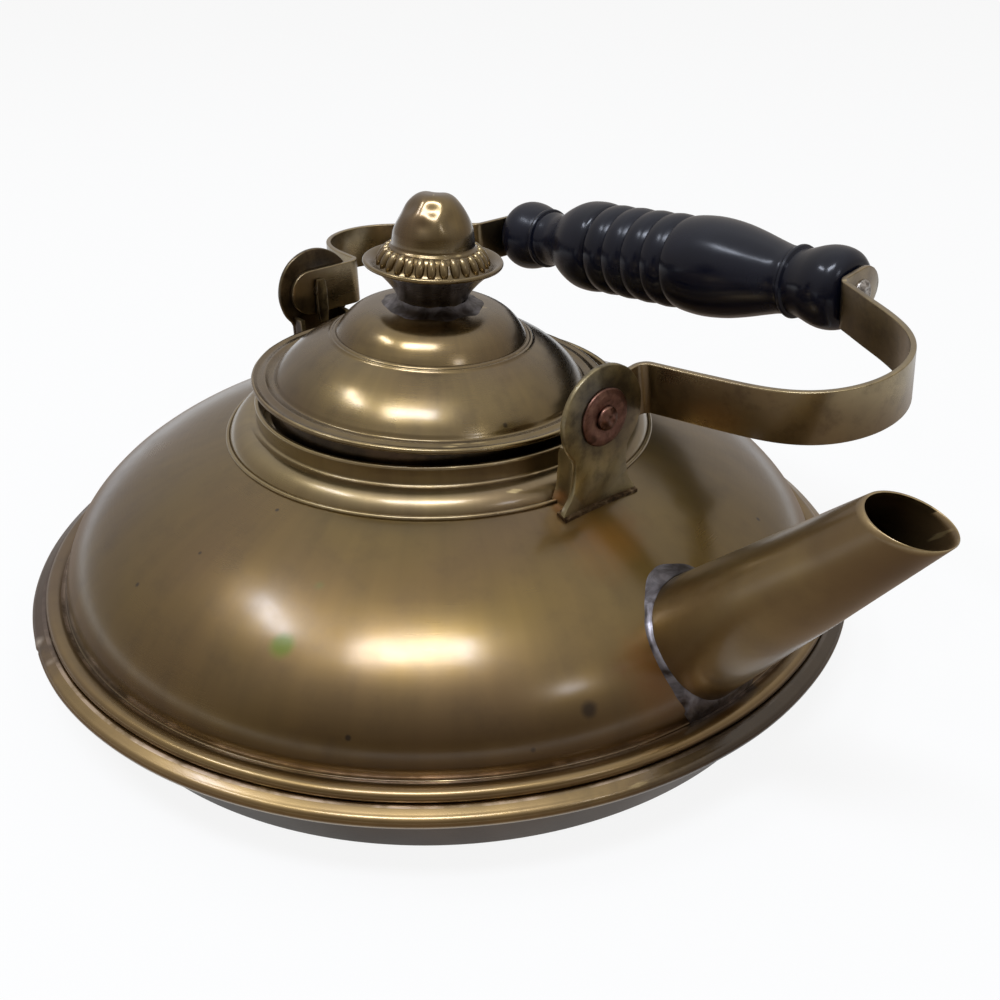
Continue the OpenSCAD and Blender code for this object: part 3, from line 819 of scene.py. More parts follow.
@dataclass
class Spout:
    """The straight cone of sheet brass, and the solder that holds it."""

    root: Point = (87.5, 30.0)
    tip: Point = (135.4, 82.6)
    root_r: float = 14.7
    tip_r: float = 7.6
    sheet: float = 1.0
    lip: float = 0.45
    cut: float = 11.4
    back: float = 24.0

    def frame(self) -> Matrix:
        """The cone's own frame: its origin at the root, +Z along the spout."""
        lean = math.atan2(self.tip[0] - self.root[0], self.tip[1] - self.root[1])
        return Matrix.Translation((self.root[0], 0, self.root[1])) @ Matrix.Rotation(lean, 4, "Y")

    def length(self) -> float:
        """Distance from the root to the middle of the mouth."""
        return math.hypot(self.tip[0] - self.root[0], self.tip[1] - self.root[1])

    def radius(self, along: float) -> float:
        """Outer radius at that distance from the root."""
        return self.root_r + (self.tip_r - self.root_r) * along / self.length()

    def cone(self, inset: float) -> Mesh:
        """A solid cone for cutting the hole, inside the spout's wall.

        Args:
            inset: distance inside the outer face.

        Returns:
            The mesh, placed in the kettle's frame.
        """
        line = [(0, -self.back), (self.radius(-self.back) - inset, -self.back),
                (self.radius(self.length()) - inset, self.length()), (0, self.length())]
        bm = turned(line, 96, closed=False)
        bmesh.ops.transform(bm, matrix=self.frame(), verts=bm.verts)
        return bm

    def mouth_along(self, direction: Vector, radius: float) -> float:
        """How far along the spout the slanting cut meets a line on the cone.

        Args:
            direction: unit vector square to the spout, in the kettle's frame.
            radius: the line's distance from the axis.

        Returns:
            The distance from the root along the axis.
        """
        axis = self.frame().to_3x3() @ Vector((0, 0, 1))
        root = Vector((self.root[0], 0, self.root[1]))
        tip = Vector((self.tip[0], 0, self.tip[1]))
        slope = math.radians(self.cut)
        normal = Vector((math.sin(slope), 0, math.cos(slope)))
        return normal.dot(tip - root - direction * radius) / normal.dot(axis)

    def start_along(self, direction: Vector, vessel: Vessel, inset: float) -> float:
        """Where a line on the cone leaves the shoulder, from bisection.

        Args:
            direction: unit vector square to the spout, in the kettle's frame.
            vessel: the body.
            inset: distance inside the cone's outer face.

        Returns:
            The distance from the root along the axis.
        """
        low, high = -self.back, self.length()
        place = self.frame()
        axis = place.to_3x3() @ Vector((0, 0, 1))
        # halved forty times, the span is far below a thousandth of a millimetre
        for _ in range(40):
            middle = (low + high) / 2
            point = place.translation + axis * middle + direction * (self.radius(middle) - inset)
            flat = math.hypot(point.x, point.y)
            dome = flat < vessel.dome_r and point.z < vessel.dome_z(flat)
            rim = flat < vessel.wall_r + 1.2 and point.z < vessel.seam_h + 3.6
            low, high = (middle, high) if dome or rim else (low, middle)
        return (low + high) / 2

    def build_tube(self, material: Material, vessel: Vessel) -> None:
        """The open tube with its slanting mouth and thin rolled edge.

        Args:
            material: its finish.
            vessel: the body that it stands on.
        """
        place, sides, steps, sunk, thinned, rolled = self.frame(), 144, 40, 1.6, 5.0, 0.16
        turn3 = place.to_3x3()
        axis = turn3 @ Vector((0, 0, 1))
        bm = bmesh.new()
        rings: list[list[Vector]] = []
        for k in range(sides):
            angle = math.tau * k / sides
            out = turn3 @ Vector((math.cos(angle), math.sin(angle), 0))
            start = self.start_along(out, vessel, 0.0) - sunk
            outer_end = self.mouth_along(out, self.tip_r)
            inner_end = self.mouth_along(out, self.tip_r - self.lip)
            ring = []
            for i in range(steps + 1):
                along = start + (outer_end - start) * i / steps
                swell = 0.14 * ruffle(place.translation + axis * along + out * 12, 17.0, 4.0)
                ring.append(place.translation + axis * along + out * (self.radius(along) + swell))
            ring.append(ring[-1] - out * self.lip * 0.5 + axis * rolled)
            for i in range(steps + 1):
                along = inner_end + (start - inner_end) * i / steps
                wall = self.lip + (self.sheet - self.lip) * min(1.0, (inner_end - along) / thinned)
                ring.append(place.translation + axis * along + out * (self.radius(along) - wall))
            rings.append(ring)
        skin(bm, rings, loop=True)
        dress(to_object(bm, "spout_tube", crease=55), Body.KETTLE, "spout_brass", material, "spout")

    def build_solder(self, material: Material, vessel: Vessel) -> None:
        """The lumpy ring of solder: wide at the top and bottom, narrow on the sides.

        Args:
            material: its finish.
            vessel: the body that it lies on.
        """
        place, sides, steps, sunk = self.frame(), 180, 12, 0.25
        turn3 = place.to_3x3()
        axis = turn3 @ Vector((0, 0, 1))
        bm = bmesh.new()
        rings = []
        for k in range(sides):
            angle = math.tau * k / sides
            out = turn3 @ Vector((math.cos(angle), math.sin(angle), 0))
            lumps = ruffle(out * 12, 4.0, 6.0)
            start = self.start_along(out, vessel, 0.0)
            foot = place.translation + axis * start + out * self.radius(start)
            # angle 180 is the crest, angle 0 the hollow above the rim
            crest, hollow = max(0.0, -math.cos(angle)), max(0.0, math.cos(angle))
            spread = 1.1 + 3.2 * crest ** 6 + 5.6 * hollow ** 2
            spread += (0.15 + 0.9 * math.cos(angle) ** 2) * lumps
            climb = 0.9 + 0.25 * ruffle(out * 9, 3.0, 1.0) + 1.3 * crest ** 6
            normal = vessel.dome_normal(foot)
            along_skin = (out - normal * out.dot(normal)).normalized()
            edge = foot + along_skin * spread
            flat = math.hypot(edge.x, edge.y)
            # on the shoulder the edge follows the skin, and beside the rim it stays where it is
            if flat < vessel.dome_r - 0.2 and math.hypot(foot.x, foot.y) < vessel.dome_r * 0.995:
                edge.z = vessel.dome_z(flat)
            edge -= normal * sunk
            top = foot + axis * climb - out * 0.15
            ring = []
            for i in range(steps + 1):
                t = i / steps
                bend = foot * (2 * t * (1 - t)) + edge * (1 - t) ** 2 + top * t * t
                fat = 0.5 * math.sin(math.pi * t) * (1 + 0.3 * ruffle(bend, 3.4, 2.0))
                ring.append(bend + (normal + out).normalized() * fat)
            ring.append(foot - out * 0.5 - normal * 0.5)
            rings.append(ring)
        skin(bm, rings, loop=True)
        dress(to_object(bm, "spout_solder_ring", crease=70), Body.KETTLE, "solder", material,
              "spout_solder")


# ---------------------------------------------------------------- ears


@dataclass
class Ears:
    """The two upright ears with their bent wings, copper washers and hammered pins."""

    pivot_z: float = 77.0
    ear_x: float = 60.4
    thick: float = 1.4
    head_r: float = 12.1
    waist: float = 16.4
    foot: float = 21.6
    wing: float = 6.0
    strap_w: float = 13.0
    pin_r: float = 2.0
    washer_r: float = 6.9
    washer_t: float = 1.0
    gap: float = 0.3
    strap_t: float = 1.4
    tail_t: float = 1.6

    def outline(self, vessel: Vessel, seed: float) -> list[Point]:
        """The plate's outline: round head, narrow waist and a foot with torn corners.

        Args:
            vessel: the body that it stands on.
            seed: picks the unevenness.

        Returns:
            (y, z) points, anticlockwise seen from +X.
        """
        half, wide = self.waist / 2, self.foot / 2
        foot_z = vessel.dome_z(self.ear_x)
        join = math.degrees(math.asin(half / self.head_r))
        right = [(wide + 0.9, foot_z - 1.5), (wide + 0.6, foot_z + 0.9), (half + 0.7, foot_z + 4.2),
                 (half, foot_z + 7.5), (half + 0.05, self.pivot_z - 9.6)]
        head = arc((0, self.pivot_z), self.head_r, -90 + join + 4, 270 - join - 4, 60)
        left = [(-y, z) for y, z in reversed(right)]
        line = rounded(right, 1.6, 4, closed=False) + head + rounded(left, 1.6, 4, closed=False)
        line += [(-wide * (1 - i / 6) + wide * i / 6, foot_z - 1.8) for i in range(1, 6)]
        return [(y + 0.12 * ruffle(Vector((y, z, seed)), 5.0, seed), z) for y, z in line]

    def build_plate(self, name: str, side: int, material: Material, vessel: Vessel,
                    node: str) -> None:
        """One ear with its two wings.

        Args:
            name: the piece's name.
            side: 1 for the ear by the spout, -1 for the far one.
            material: its finish.
            vessel: the body that it stands on.
            node: the solid that it replaces.
        """
        bm = plate(self.outline(vessel, 2.0 + side), self.ear_x - self.thick, self.thick, 0.35)
        top, wall, bend, sunk = self.pivot_z - self.strap_w / 2 - self.gap, self.waist / 2, 1.9, 1.0
        foot_z = vessel.dome_z(self.ear_x - self.wing) + 0.1
        for edge in (-1, 1):
            rows = []
            for i in range(19):
                t = i / 18
                z = foot_z - sunk + (top - foot_z + sunk) * t
                rough = 0.35 * ruffle(Vector((edge * 5.0, z, side)), 3.0, 7.0)
                reach = self.wing - 0.9 * t + rough + 0.6 * math.sin(3.0 * t)
                flare = 1.2 * math.exp(-((z - foot_z) / 2.2) ** 2)
                round_part = [(self.ear_x - bend + bend * math.cos(a), wall - bend + bend * math.sin(a))
                              for a in (math.radians(v) for v in (8, 30, 50, 70, 90))]
                flat_part = [(self.ear_x - bend - (reach - bend) * k / 4, wall + flare * (k / 4) ** 2)
                             for k in range(1, 5)]
                inner = [(x - slip, y - self.thick * 0.85)
                         for part, slip in ((round_part, 0.15), (flat_part, 0.18)) for x, y in part]
                loop = round_part + flat_part + inner[::-1]
                rows.append([Vector((x, y * edge, z)) for x, y in loop])
            skin(bm, rows, cap=True)
        if side < 0:
            bmesh.ops.rotate(bm, matrix=Matrix.Rotation(math.pi, 3, "Z"), verts=bm.verts)
        dress(to_object(bm, name, crease=45), Body.KETTLE, "ear_brass" if side > 0 else "dark_brass",
              material, node)

    def build_washer(self, name: str, side: int, material: Material, node: str) -> None:
        """A copper washer, a little domed by the hammer.

        Args:
            name: the piece's name.
            side: 1 for the ear by the spout, -1 for the far one.
            material: its finish.
            node: the solid that it replaces.
        """
        rim, t = self.washer_r, self.washer_t
        line = rounded([(self.pin_r, 0), (rim, 0), (rim - 0.1, t * 0.75), (rim - 1.5, t),
                        (self.pin_r + 1.6, t * 0.86), (self.pin_r, t * 0.8)], 0.35, 3)
        place = (Matrix.Rotation(math.pi if side < 0 else 0.0, 4, "Z")
                 @ Matrix.Translation((self.ear_x, 0, self.pivot_z)) @ Matrix.Rotation(math.pi / 2, 4, "Y"))
        bm = turned(line, 72)
        dress(to_object(bm, name, place, shift=lambda p: Vector((0, 0.12, 0.1)) * ruffle(p, 3.5, side)),
              Body.KETTLE, "copper", material, node)

    def build_pin(self, name: str, side: int, material: Material, node: str) -> None:
        """The pin: a hammered head outside, and inside a flat tail turned across the strap.

        Args:
            name: the piece's name.
            side: 1 for the ear by the spout, -1 for the far one.
            material: its finish.
            node: the solid that it replaces.
        """
        tail_x = self.ear_x - self.thick - self.gap - self.strap_t - self.gap - self.tail_t
        out = self.ear_x + self.washer_t * 0.8
        head = rounded([(0, tail_x + 0.1), (self.pin_r, tail_x + 0.1), (self.pin_r, out),
                        (self.pin_r + 0.95, out), (self.pin_r + 0.8, out + 0.9), (1.2, out + 1.5),
                        (0, out + 1.35)], 0.5, 4, closed=False)
        bm = turned(head, 40, closed=False)
        bmesh.ops.rotate(bm, matrix=Matrix.Rotation(math.pi / 2, 3, "Y"), verts=bm.verts)
        bmesh.ops.translate(bm, vec=(0, 0, self.pivot_z), verts=bm.verts)
        rings, tail_foot, tail_len = [], self.pivot_z - 8.8, 12.6
        for i in range(15):
            t = i / 14
            z = tail_foot + tail_len * t
            half = 1.75 * (1 - 0.25 * abs(2 * t - 1) ** 4) + 0.12 * ruffle(Vector((z, side, 0)), 2.0)
            thick = 1.5 - 0.25 * t
            corners = rounded([(tail_x + 0.05, -half), (tail_x + thick, -half), (tail_x + thick, half),
                               (tail_x + 0.05, half)], 0.45, 3)
            rings.append([Vector((x, y, z)) for x, y in corners])
        skin(bm, rings, cap=True)
        if side < 0:
            bmesh.ops.rotate(bm, matrix=Matrix.Rotation(math.pi, 3, "Z"), verts=bm.verts)

        def hammered(place: Vector) -> Vector:
            """Hammer marks on the head outside the washer."""
            return Vector((side, 0, 0)) * 0.22 * ruffle(place, 1.3, 4.0) if abs(place.x) > out else Vector()

        dress(to_object(bm, name, shift=hammered, crease=50), Body.KETTLE, "dark_brass", material, node)

    def build(self, vessel: Vessel, near: Material, dark: Material, copper: Material) -> None:
        """Build both ears.

        Args:
            vessel: the body that they stand on.
            near: finish of the ear by the spout.
            dark: finish of the far ear and the pins, a brass painted near black as painted shade.
            copper: finish of the washers.
        """
        for word, side, finish in (("front", 1, near), ("rear", -1, dark)):
            self.build_plate(f"ear_plate_{word}", side, finish, vessel, f"ear_{word}")
            self.build_washer(f"copper_washer_{word}", side, copper, f"washer_{word}")
            self.build_pin(f"hammered_pin_{word}", side, dark if side < 0 else copper, f"pin_{word}")


# ---------------------------------------------------------------- bail


@dataclass
class Bail:
    """The bail: two bent straps of different reach, and the turned grip between them."""

    pivot_z: float = 77.0
    strap_w: float = 13.0
    strap_t: float = 1.4
    strap_x: float = 58.0
    strap_tip: float = 2.4
    height: float = 82.5
    rear_lift: float = 0.8
    twist: float = 8.2
    grip_len: float = 130.4
    grip_shift: float = 2.9
    bend_r: float = 3.0
    tab_tip: float = 1.0
    rod_r: float = 2.4

    def plane(self, front: bool) -> Matrix:
        """An arm's own plane, pivot at the origin and the grip towards +Y."""
        lift = self.rear_lift + (self.twist if front else 0.0)
        return Matrix.Translation((0, 0, self.pivot_z)) @ Matrix.Rotation(math.radians(lift), 4, "X")

    def path(self, grip_end: float, reach: float, loop_r: float, up: float, out: float,
             back: float) -> list[tuple[Vector, float]]:
        """An arm's midline as points with headings in degrees.

        Args:
            grip_end: X of the grip's end.
            reach: how far the loop bulges out.
            loop_r: the loop's outer radius.
            up: straight strap between the pivot and the first bend.
            out: slope of the outward run.
            back: slope of the run back to the grip.

        Returns:
            The midline.
        """
        o, b = math.radians(out), math.radians(back)
        bend, mid = self.bend_r, loop_r - self.strap_t / 2
        tab_x, loop_x = grip_end + self.strap_t / 2, reach - loop_r
        end = (self.strap_x + bend * (1 - math.sin(o)), up + bend * math.cos(o))
        run_out = (loop_x + mid * math.sin(o) - end[0]) / math.cos(o)
        loop_y = end[1] + run_out * math.sin(o) + mid * math.cos(o)
        last = (loop_x + mid * math.sin(b), loop_y + mid * math.cos(b))
        run_back = (last[0] - tab_x - bend * (1 - math.sin(b))) / math.cos(b)
        tab_y = last[1] + run_back * math.sin(b) + bend * math.cos(b)
        line: list[tuple[Vector, float]] = []

        def straight(start: Point, heading: float, length: float, steps: int) -> None:
            """Add a straight run to the midline."""
            step = Vector((math.cos(math.radians(heading)), math.sin(math.radians(heading))))
            line.extend((Vector(start) + step * length * i / steps, heading) for i in range(steps + 1))

        def turn(centre: Point, radius: float, first: float, final: float, steps: int) -> None:
            """Add a bend to the right to the midline.

            Args:
                centre: the bend's middle.
                radius: its radius.
                first: heading at its start, in degrees.
                final: heading at its end.
                steps: number of pieces.
            """
            for i in range(steps + 1):
                heading = first + (final - first) * i / steps
                h = math.radians(heading)
                line.append((Vector(centre) + Vector((-math.sin(h), math.cos(h))) * radius, heading))

        straight((self.strap_x, -self.strap_tip), 90, up + self.strap_tip - 0.4, 8)
        turn((self.strap_x + bend, up), bend, 90, out, 10)
        # the loop's bend fades in and out, as it does in a strap bent by hand
        steps, ease = 120, 0.17
        round_part = mid * (math.radians(180 - back) - o)
        whole = run_out + round_part + run_back
        headings = []
        for i in range(steps):
            at = (i + 0.5) / steps * whole
            window = ease * whole
            total = sum(min(1.0, max(0.0, (at + window * (k / 12 - 0.5) - run_out) / round_part))
                        for k in range(13)) / 13
            headings.append(out + (180 - back - out) * total)
        ends = [Vector(end)]
        for heading in headings:
            h = math.radians(heading)
            ends.append(ends[-1] + Vector((math.cos(h), math.sin(h))) * whole / steps)
        target = Vector((tab_x + bend * (1 - math.sin(b)), last[1] + run_back * math.sin(b)))
        slip = target - ends[-1]
        for i in range(1, steps):
            line.append((ends[i] + slip * i / steps, (headings[i - 1] + headings[i]) / 2))
        turn((tab_x + bend, tab_y), bend, 180 - back, 90, 10)
        straight((tab_x, tab_y + 0.4), 90, self.height + self.tab_tip - tab_y - 0.4, 8)
        return line

    def build_arm(self, name: str, front: bool, path: list[tuple[Vector, float]],
                  material: Material, node: str) -> None:
        """One strap, bent along its midline, with half-round ends.

        Args:
            name: the piece's name.
            front: whether it is the arm by the spout.
            path: its midline.
            material: its finish.
            node: the solid that it replaces.
        """
        half_w, half_t, soft = self.strap_w / 2, self.strap_t / 2, 0.32
        rows: list[list[Vector]] = []

        def section(centre: Vector, heading: float, half: float) -> None:
            """Add one cross-section of the strap, a little wavy as if bent by hand.

            Args:
                centre: its middle on the midline.
                heading: the midline's heading there, in degrees.
                half: half of the strap's width there.
            """
            h = math.radians(heading)
            across = Vector((-math.sin(h), math.cos(h)))
            half = max(half, soft * 1.2)
            ring = rounded([(-half_t, -half), (half_t, -half), (half_t, half), (-half_t, half)], soft, 3)
            wave = 0.1 * ruffle(Vector((centre.x, centre.y, 1.0)), 11.0, 1.0)
            rows.append([Vector((centre.x + across.x * (u + wave), centre.y + across.y * (u + wave), v))
                         for u, v in ring])

        tips = [math.sin(math.radians(a)) for a in (86, 78, 68, 56, 42, 28, 14)]
        first, last = path[0], path[-1]
        for reach in tips:
            section(first[0] - Vector((0, half_w * reach)), 90, half_w * math.sqrt(1 - reach ** 2))
        for centre, heading in path:
            section(centre, heading, half_w)
        for reach in reversed(tips):
            section(last[0] + Vector((0, half_w * reach)), 90, half_w * math.sqrt(1 - reach ** 2))
        bm = bmesh.new()
        skin(bm, rows, cap=True)
        mirror = Matrix.Identity(4) if front else Matrix.Scale(-1, 4, (1, 0, 0))
        dress(to_object(bm, name, self.plane(front) @ mirror, crease=50), Body.BAIL, "strap_brass",
              material, node)

    def grip_frame(self) -> Matrix:
        """The grip's own frame: its middle at the origin, +Z towards the spout.

        Returns:
            The matrix from that frame to the kettle's.
        """
        half = self.grip_len / 2
        front = self.plane(True) @ Vector((self.grip_shift + half, self.height, 0))
        rear = self.plane(False) @ Vector((self.grip_shift - half, self.height, 0))
        turn = (front - rear).to_track_quat("Z", "Y").to_matrix().to_4x4()
        return Matrix.Translation((front + rear) / 2) @ turn

    def build_grip(self, material: Material) -> None:
        """The turned grip: balls, necks, two long swellings and four rings.

        Args:
            material: its finish.
        """
        half = self.grip_len / 2
        swell_rear = curve_through([(8.5, -48.4), (8.0, -45), (9.3, -40.5), (11.7, -36), (13.4, -31.5),
                                    (13.8, -27.4), (13.55, -24.2), (13.05, -22.6)], 5)
        rings: list[Point] = []
        first, pitch = -22.2, 7.83
        for i in range(4):
            start = first + i * pitch
            rings += [(12.35, start + 0.2), (12.9, start + 0.75), (13.35, start + 2.0),
                      (13.5, start + 3.9), (13.35, start + 5.8), (12.9, start + 7.1)]
        swell_front = curve_through([(12.35, 9.35), (13.0, 10.0), (13.6, 12.4), (13.95, 16.5),
                                     (13.9, 21), (13.2, 27), (11.9, 33), (10.3, 39), (9.2, 43.5),
                                     (9.0, 46.4)], 5)
        rear_ball = curve_through([(6.2, -half), (8.3, -64.7), (10.0, -62.9), (10.85, -60.0), (10.7, -57.0),
                                   (10.0, -54.2), (9.2, -52.2)], 5)
        rear_bead = [(8.7, -51.4), (9.3, -50.9), (9.4, -50.2), (9.1, -49.7), (8.5, -49.5)]
        front_bead = [(8.8, 46.9), (9.5, 47.3), (9.8, 47.9), (9.6, 48.5), (8.9, 48.9)]
        front_ball = curve_through([(8.9, 49.2), (9.0, 50.4), (9.6, 52.6), (10.4, 55.2), (10.85, 57.9),
                                    (10.7, 60.6), (9.9, 63.0), (8.2, 64.7), (6.4, half)], 5)
        line = [(self.rod_r - 0.2, -half), *rear_ball, *rear_bead, *swell_rear, *rings, *swell_front,
                *front_bead, *front_ball, (self.rod_r - 0.2, half)]
        dress(to_object(turned(line, 128), "turned_grip", self.grip_frame(), crease=38), Body.BAIL,
              "ebonised_wood", material, "grip")

    def build_rod(self, material: Material) -> None:
        """The rod through the grip, peened over a strap at each end.

        Args:
            material: its finish.
        """
        half = self.grip_len / 2 + self.strap_t
        r = self.rod_r
        line = rounded([(0, -half - 1.6), (1.5, -half - 1.5), (r + 0.8, -half - 0.7), (r + 0.9, -half),
                        (r, -half), (r, half), (r + 0.9, half), (r + 1.0, half + 0.9),
                        (1.7, half + 1.9), (0, half + 1.7)], 0.4, 4, closed=False)
        dress(to_object(turned(line, 40, closed=False), "peened_rod", self.grip_frame(),
                        shift=lambda p: Vector((0.2, 0.1, 0.15)) * ruffle(p, 1.1, 3.0)
                        if abs(p.x - self.grip_shift) > half - 1 else Vector()),
              Body.BAIL, "rod_steel", material, "grip_rod")

    def build(self, strap: Material, wood: Material, iron: Material) -> None:
        """Build the arms, the grip and its rod.

        Args:
            strap: finish of the straps.
            wood: finish of the grip.
            iron: finish of the rod.
        """
        half = self.grip_len / 2
        front = self.path(half + self.grip_shift, reach=105.4, loop_r=23.0, up=12.8, out=12.6, back=26.0)
        rear = self.path(half - self.grip_shift, reach=88.1, loop_r=17.5, up=11.7, out=2.0, back=48.0)
        self.build_arm("strap_front", True, front, strap, "bail_arm_front")
        self.build_arm("strap_rear", False, rear, strap, "bail_arm_rear")
        self.build_grip(wood)
        self.build_rod(iron)


# ---------------------------------------------------------------- lid


@dataclass
class Lid:
    """The stepped lid, its skirt, and the beaded knob with a dented cap."""

    brim_r: float = 45.5
    brim_z: float = 70.5
    shift_x: float = 1.8
    shift_y: float = -3.9
    lean: float = 3.1
    lean_towards: float = 50.0
    sheet: float = 1.0
    skirt_r: float = 41.2
    skirt_depth: float = 9.7
    brim_w: float = 6.1
    step_r: float = 25.0
    foot_h: float = 17.6
    neck_r: float = 8.8
    saucer_r: float = 17.3
    saucer_h: float = 12.4
    cap_r: float = 10.2
    beads: int = 28

    def frame(self) -> Matrix:
        """The lid's own frame: the middle of its brim, askew as it lies in the neck.

        Returns:
            The matrix from that frame to the kettle's.
        """
        toward = math.radians(self.lean_towards)
        lean = Matrix.Rotation(math.radians(self.lean), 4, (-math.sin(toward), math.cos(toward), 0))
        return Matrix.Translation((self.shift_x, self.shift_y, self.brim_z)) @ lean

    def build_shell(self, material: Material) -> None:
        """The spun lid: rolled brim, lower dome, narrow step and upper dome.

        Args:
            material: its finish.
        """
        inner = self.brim_r - self.brim_w
        top = rounded([(self.brim_r - 0.5, 0.15), (inner + 4.3, -0.35), (inner + 3.4, -0.1),
                       (inner + 2.7, 0.25), (inner + 1.9, -0.2), (inner + 0.5, -0.45), (inner, 0.35)],
                      0.5, 4, closed=False)
        top += curve_through([(inner - 0.2, 0.7), (37.7, 2.6), (36.0, 4.35), (34.0, 6.05), (32.0, 7.5),
                              (29.6, 8.95), (27.6, 9.9), (self.step_r + 1.3, 10.45)], 6)
        top += rounded([(self.step_r + 0.9, 10.62), (self.step_r + 0.55, 11.15), (self.step_r + 0.1, 11.1),
                        (self.step_r - 0.1, 11.35), (self.step_r - 0.6, 11.6), (self.step_r - 0.95, 11.35)],
                       0.35, 4, closed=False)
        top += curve_through([(24.0, 11.5), (23.1, 12.9), (21.8, 14.6), (20.2, 16.1), (18.3, 17.3),
                              (16.2, 18.1), (13.6, 18.5), (10.0, 18.6)], 6)
        roll = arc((self.brim_r - 0.7, -0.5), 0.7, 85, -100, 10)
        under = [(0, 17.5), (13.0, 17.4), (17.4, 16.4), (21.0, 13.8), (self.step_r - 0.9, 10.1),
                 (33.4, 5.0), (inner - 1.0, -0.2), (inner - 0.3, -1.3), (self.brim_r - 1.4, -1.15)]
        line = [(0, 18.6), *reversed(top), *roll, *reversed(under)]

        def shift(place: Vector) -> Vector:
            """The spun sheet's slight waves."""
            up = Vector((place.x * 0.012, place.y * 0.012, 1)).normalized()
            return up * (0.13 * ruffle(place, 19.0, 11.0) + 0.05 * ruffle(place, 8.0, 2.0))

        dress(to_object(turned(line, 240, closed=False), "lid_sheet", self.frame(), shift, 50), Body.LID,
              "lid_brass", material, "lid_shell")

    def build_skirt(self, material: Material) -> None:
        """The plain ring under the lid that sits in the neck.

        Args:
            material: its finish.
        """
        r, depth = self.skirt_r, self.skirt_depth
        line = rounded([(r - 1, -0.8), (r, -0.8), (r, -depth), (r - 1, -depth)], 0.3, 3)
        dress(to_object(turned(line, 160), "lid_skirt_ring", self.frame()), Body.LID, "dark_brass",
              material, "lid_skirt")

    def build_saucer(self, material: Material) -> None:
        """The flared foot of the knob and its flat saucer rim.

        Args:
            material: its finish.
        """
        base, rim = self.foot_h, self.saucer_r
        top = self.foot_h + self.saucer_h
        line = curve_through([(self.neck_r + 0.35, base + 0.2), (self.neck_r + 0.1, base + 1.6),
                              (self.neck_r + 0.05, base + 3.2), (9.7, base + 4.9), (10.9, base + 6.5),
                              (12.6, base + 8.4), (14.6, base + 10.2), (16.4, base + 11.3)], 6)
        line += arc((rim - 0.6, top - 0.55), 0.6, -70, 110, 9)
        line += rounded([(rim - 1.6, top - 0.35), (15.2, top - 0.75), (14.2, top - 1.75),
                         (10.0, top - 1.75), (8.4, top - 1.9)], 0.5, 3, closed=False)
        line += [(8.4, top - 3.2), (self.neck_r - 1.1, base + 3.4), (self.neck_r - 1.1, base - 0.2)]

        def shift(place: Vector) -> Vector:
            """The saucer's slight waves."""
            return Vector((0, 0, 1)) * 0.1 * ruffle(place, 9.0, 14.0)

        dress(to_object(turned(line, 160), "knob_saucer_sheet", self.frame(), shift, 50), Body.LID,
              "knob_brass", material, "knob_saucer")

    def build_beads(self, material: Material) -> None:
        """The ring of stamped oblong beads round the cap's foot.

        Args:
            material: its finish.
        """
        seat = self.foot_h + self.saucer_h - 1.8
        bm = turned(rounded([(self.cap_r - 0.6, seat - 0.1), (14.3, seat - 0.1), (14.1, seat + 0.5),
                             (13.2, seat + 1.3), (12.0, seat + 3.6), (11.1, seat + 4.6),
                             (self.cap_r - 0.6, seat + 4.9)], 0.5, 3), 112)
        rng = random.Random(28)
        for i in range(self.beads):
            turn = math.tau * (i + rng.uniform(-0.06, 0.06)) / self.beads
            size = rng.uniform(0.93, 1.05)
            local = (Matrix.Rotation(turn, 4, "Z") @ Matrix.Translation((12.3, 0, seat + 2.55))
                     @ Matrix.Rotation(math.radians(60), 4, "Y")
                     @ Matrix.Diagonal((2.85 * size, 1.2, 1.25 * size, 1)))
            bmesh.ops.create_uvsphere(bm, u_segments=18, v_segments=14, radius=1.0, matrix=local)
        dress(to_object(bm, "knob_bead_ring", self.frame(), crease=60), Body.LID, "knob_brass", material,
              "knob_beads")

    def build_cap(self, material: Material) -> None:
        """The thin hollow cap, knocked in near its top in a few places.

        Args:
            material: its finish.
        """
        seat = self.foot_h + self.saucer_h - 1.8
        line = [(0, seat + 17.5)]
        line += list(reversed(curve_through(
            [(self.cap_r, seat), (11.0, seat + 3.6), (10.9, seat + 4.8), (10.2, seat + 5.6),
             (9.9, seat + 7.0), (9.35, seat + 9.2), (8.6, seat + 11.3), (7.6, seat + 13.3),
             (6.3, seat + 15.1), (4.7, seat + 16.6), (3.1, seat + 17.35), (1.4, seat + 17.5),
             (0.3, seat + 17.5)], 6)))
        line += [(self.cap_r - 1.1, seat), (self.cap_r - 1.2, seat + 4), (6.2, seat + 13),
                 (2.0, seat + 16.7), (0, seat + 17)]
        middle = self.frame() @ Vector((0, 0, seat + 8))
        knocks = [((-0.05, -0.62, 0.78), 0.42, 0.75), ((0.50, -0.42, 0.76), 0.36, 0.8),
                  ((0.55, -0.72, 0.42), 0.34, 0.55), ((-0.55, -0.65, 0.52), 0.36, 0.5),
                  ((0.85, -0.1, 0.5), 0.4, 0.5), ((-0.2, 0.3, 0.93), 0.35, 0.6),
                  ((-0.8, 0.3, 0.5), 0.4, 0.45), ((0.2, 0.8, 0.55), 0.4, 0.5)]

        def shift(place: Vector) -> Vector:
            """The knocks, swollen a little between them; the cap's foot stays round.

            Args:
                place: the point, in millimetres.

            Returns:
                How far the point moves.
            """
            away = place - middle
            if away.z < -3:
                return Vector()
            unit = away.normalized()
            depth = sum(deep * math.exp(-((unit - Vector(way).normalized()).length / wide) ** 2 * 2.2)
                        for way, wide, deep in knocks)
            return -unit * (depth - 0.35) * min(1.0, (away.z + 3) / 4)

        dress(to_object(turned(line, 128, closed=False), "knob_cap_sheet", self.frame(), shift, 60),
              Body.LID, "knob_brass", material, "knob_cap")

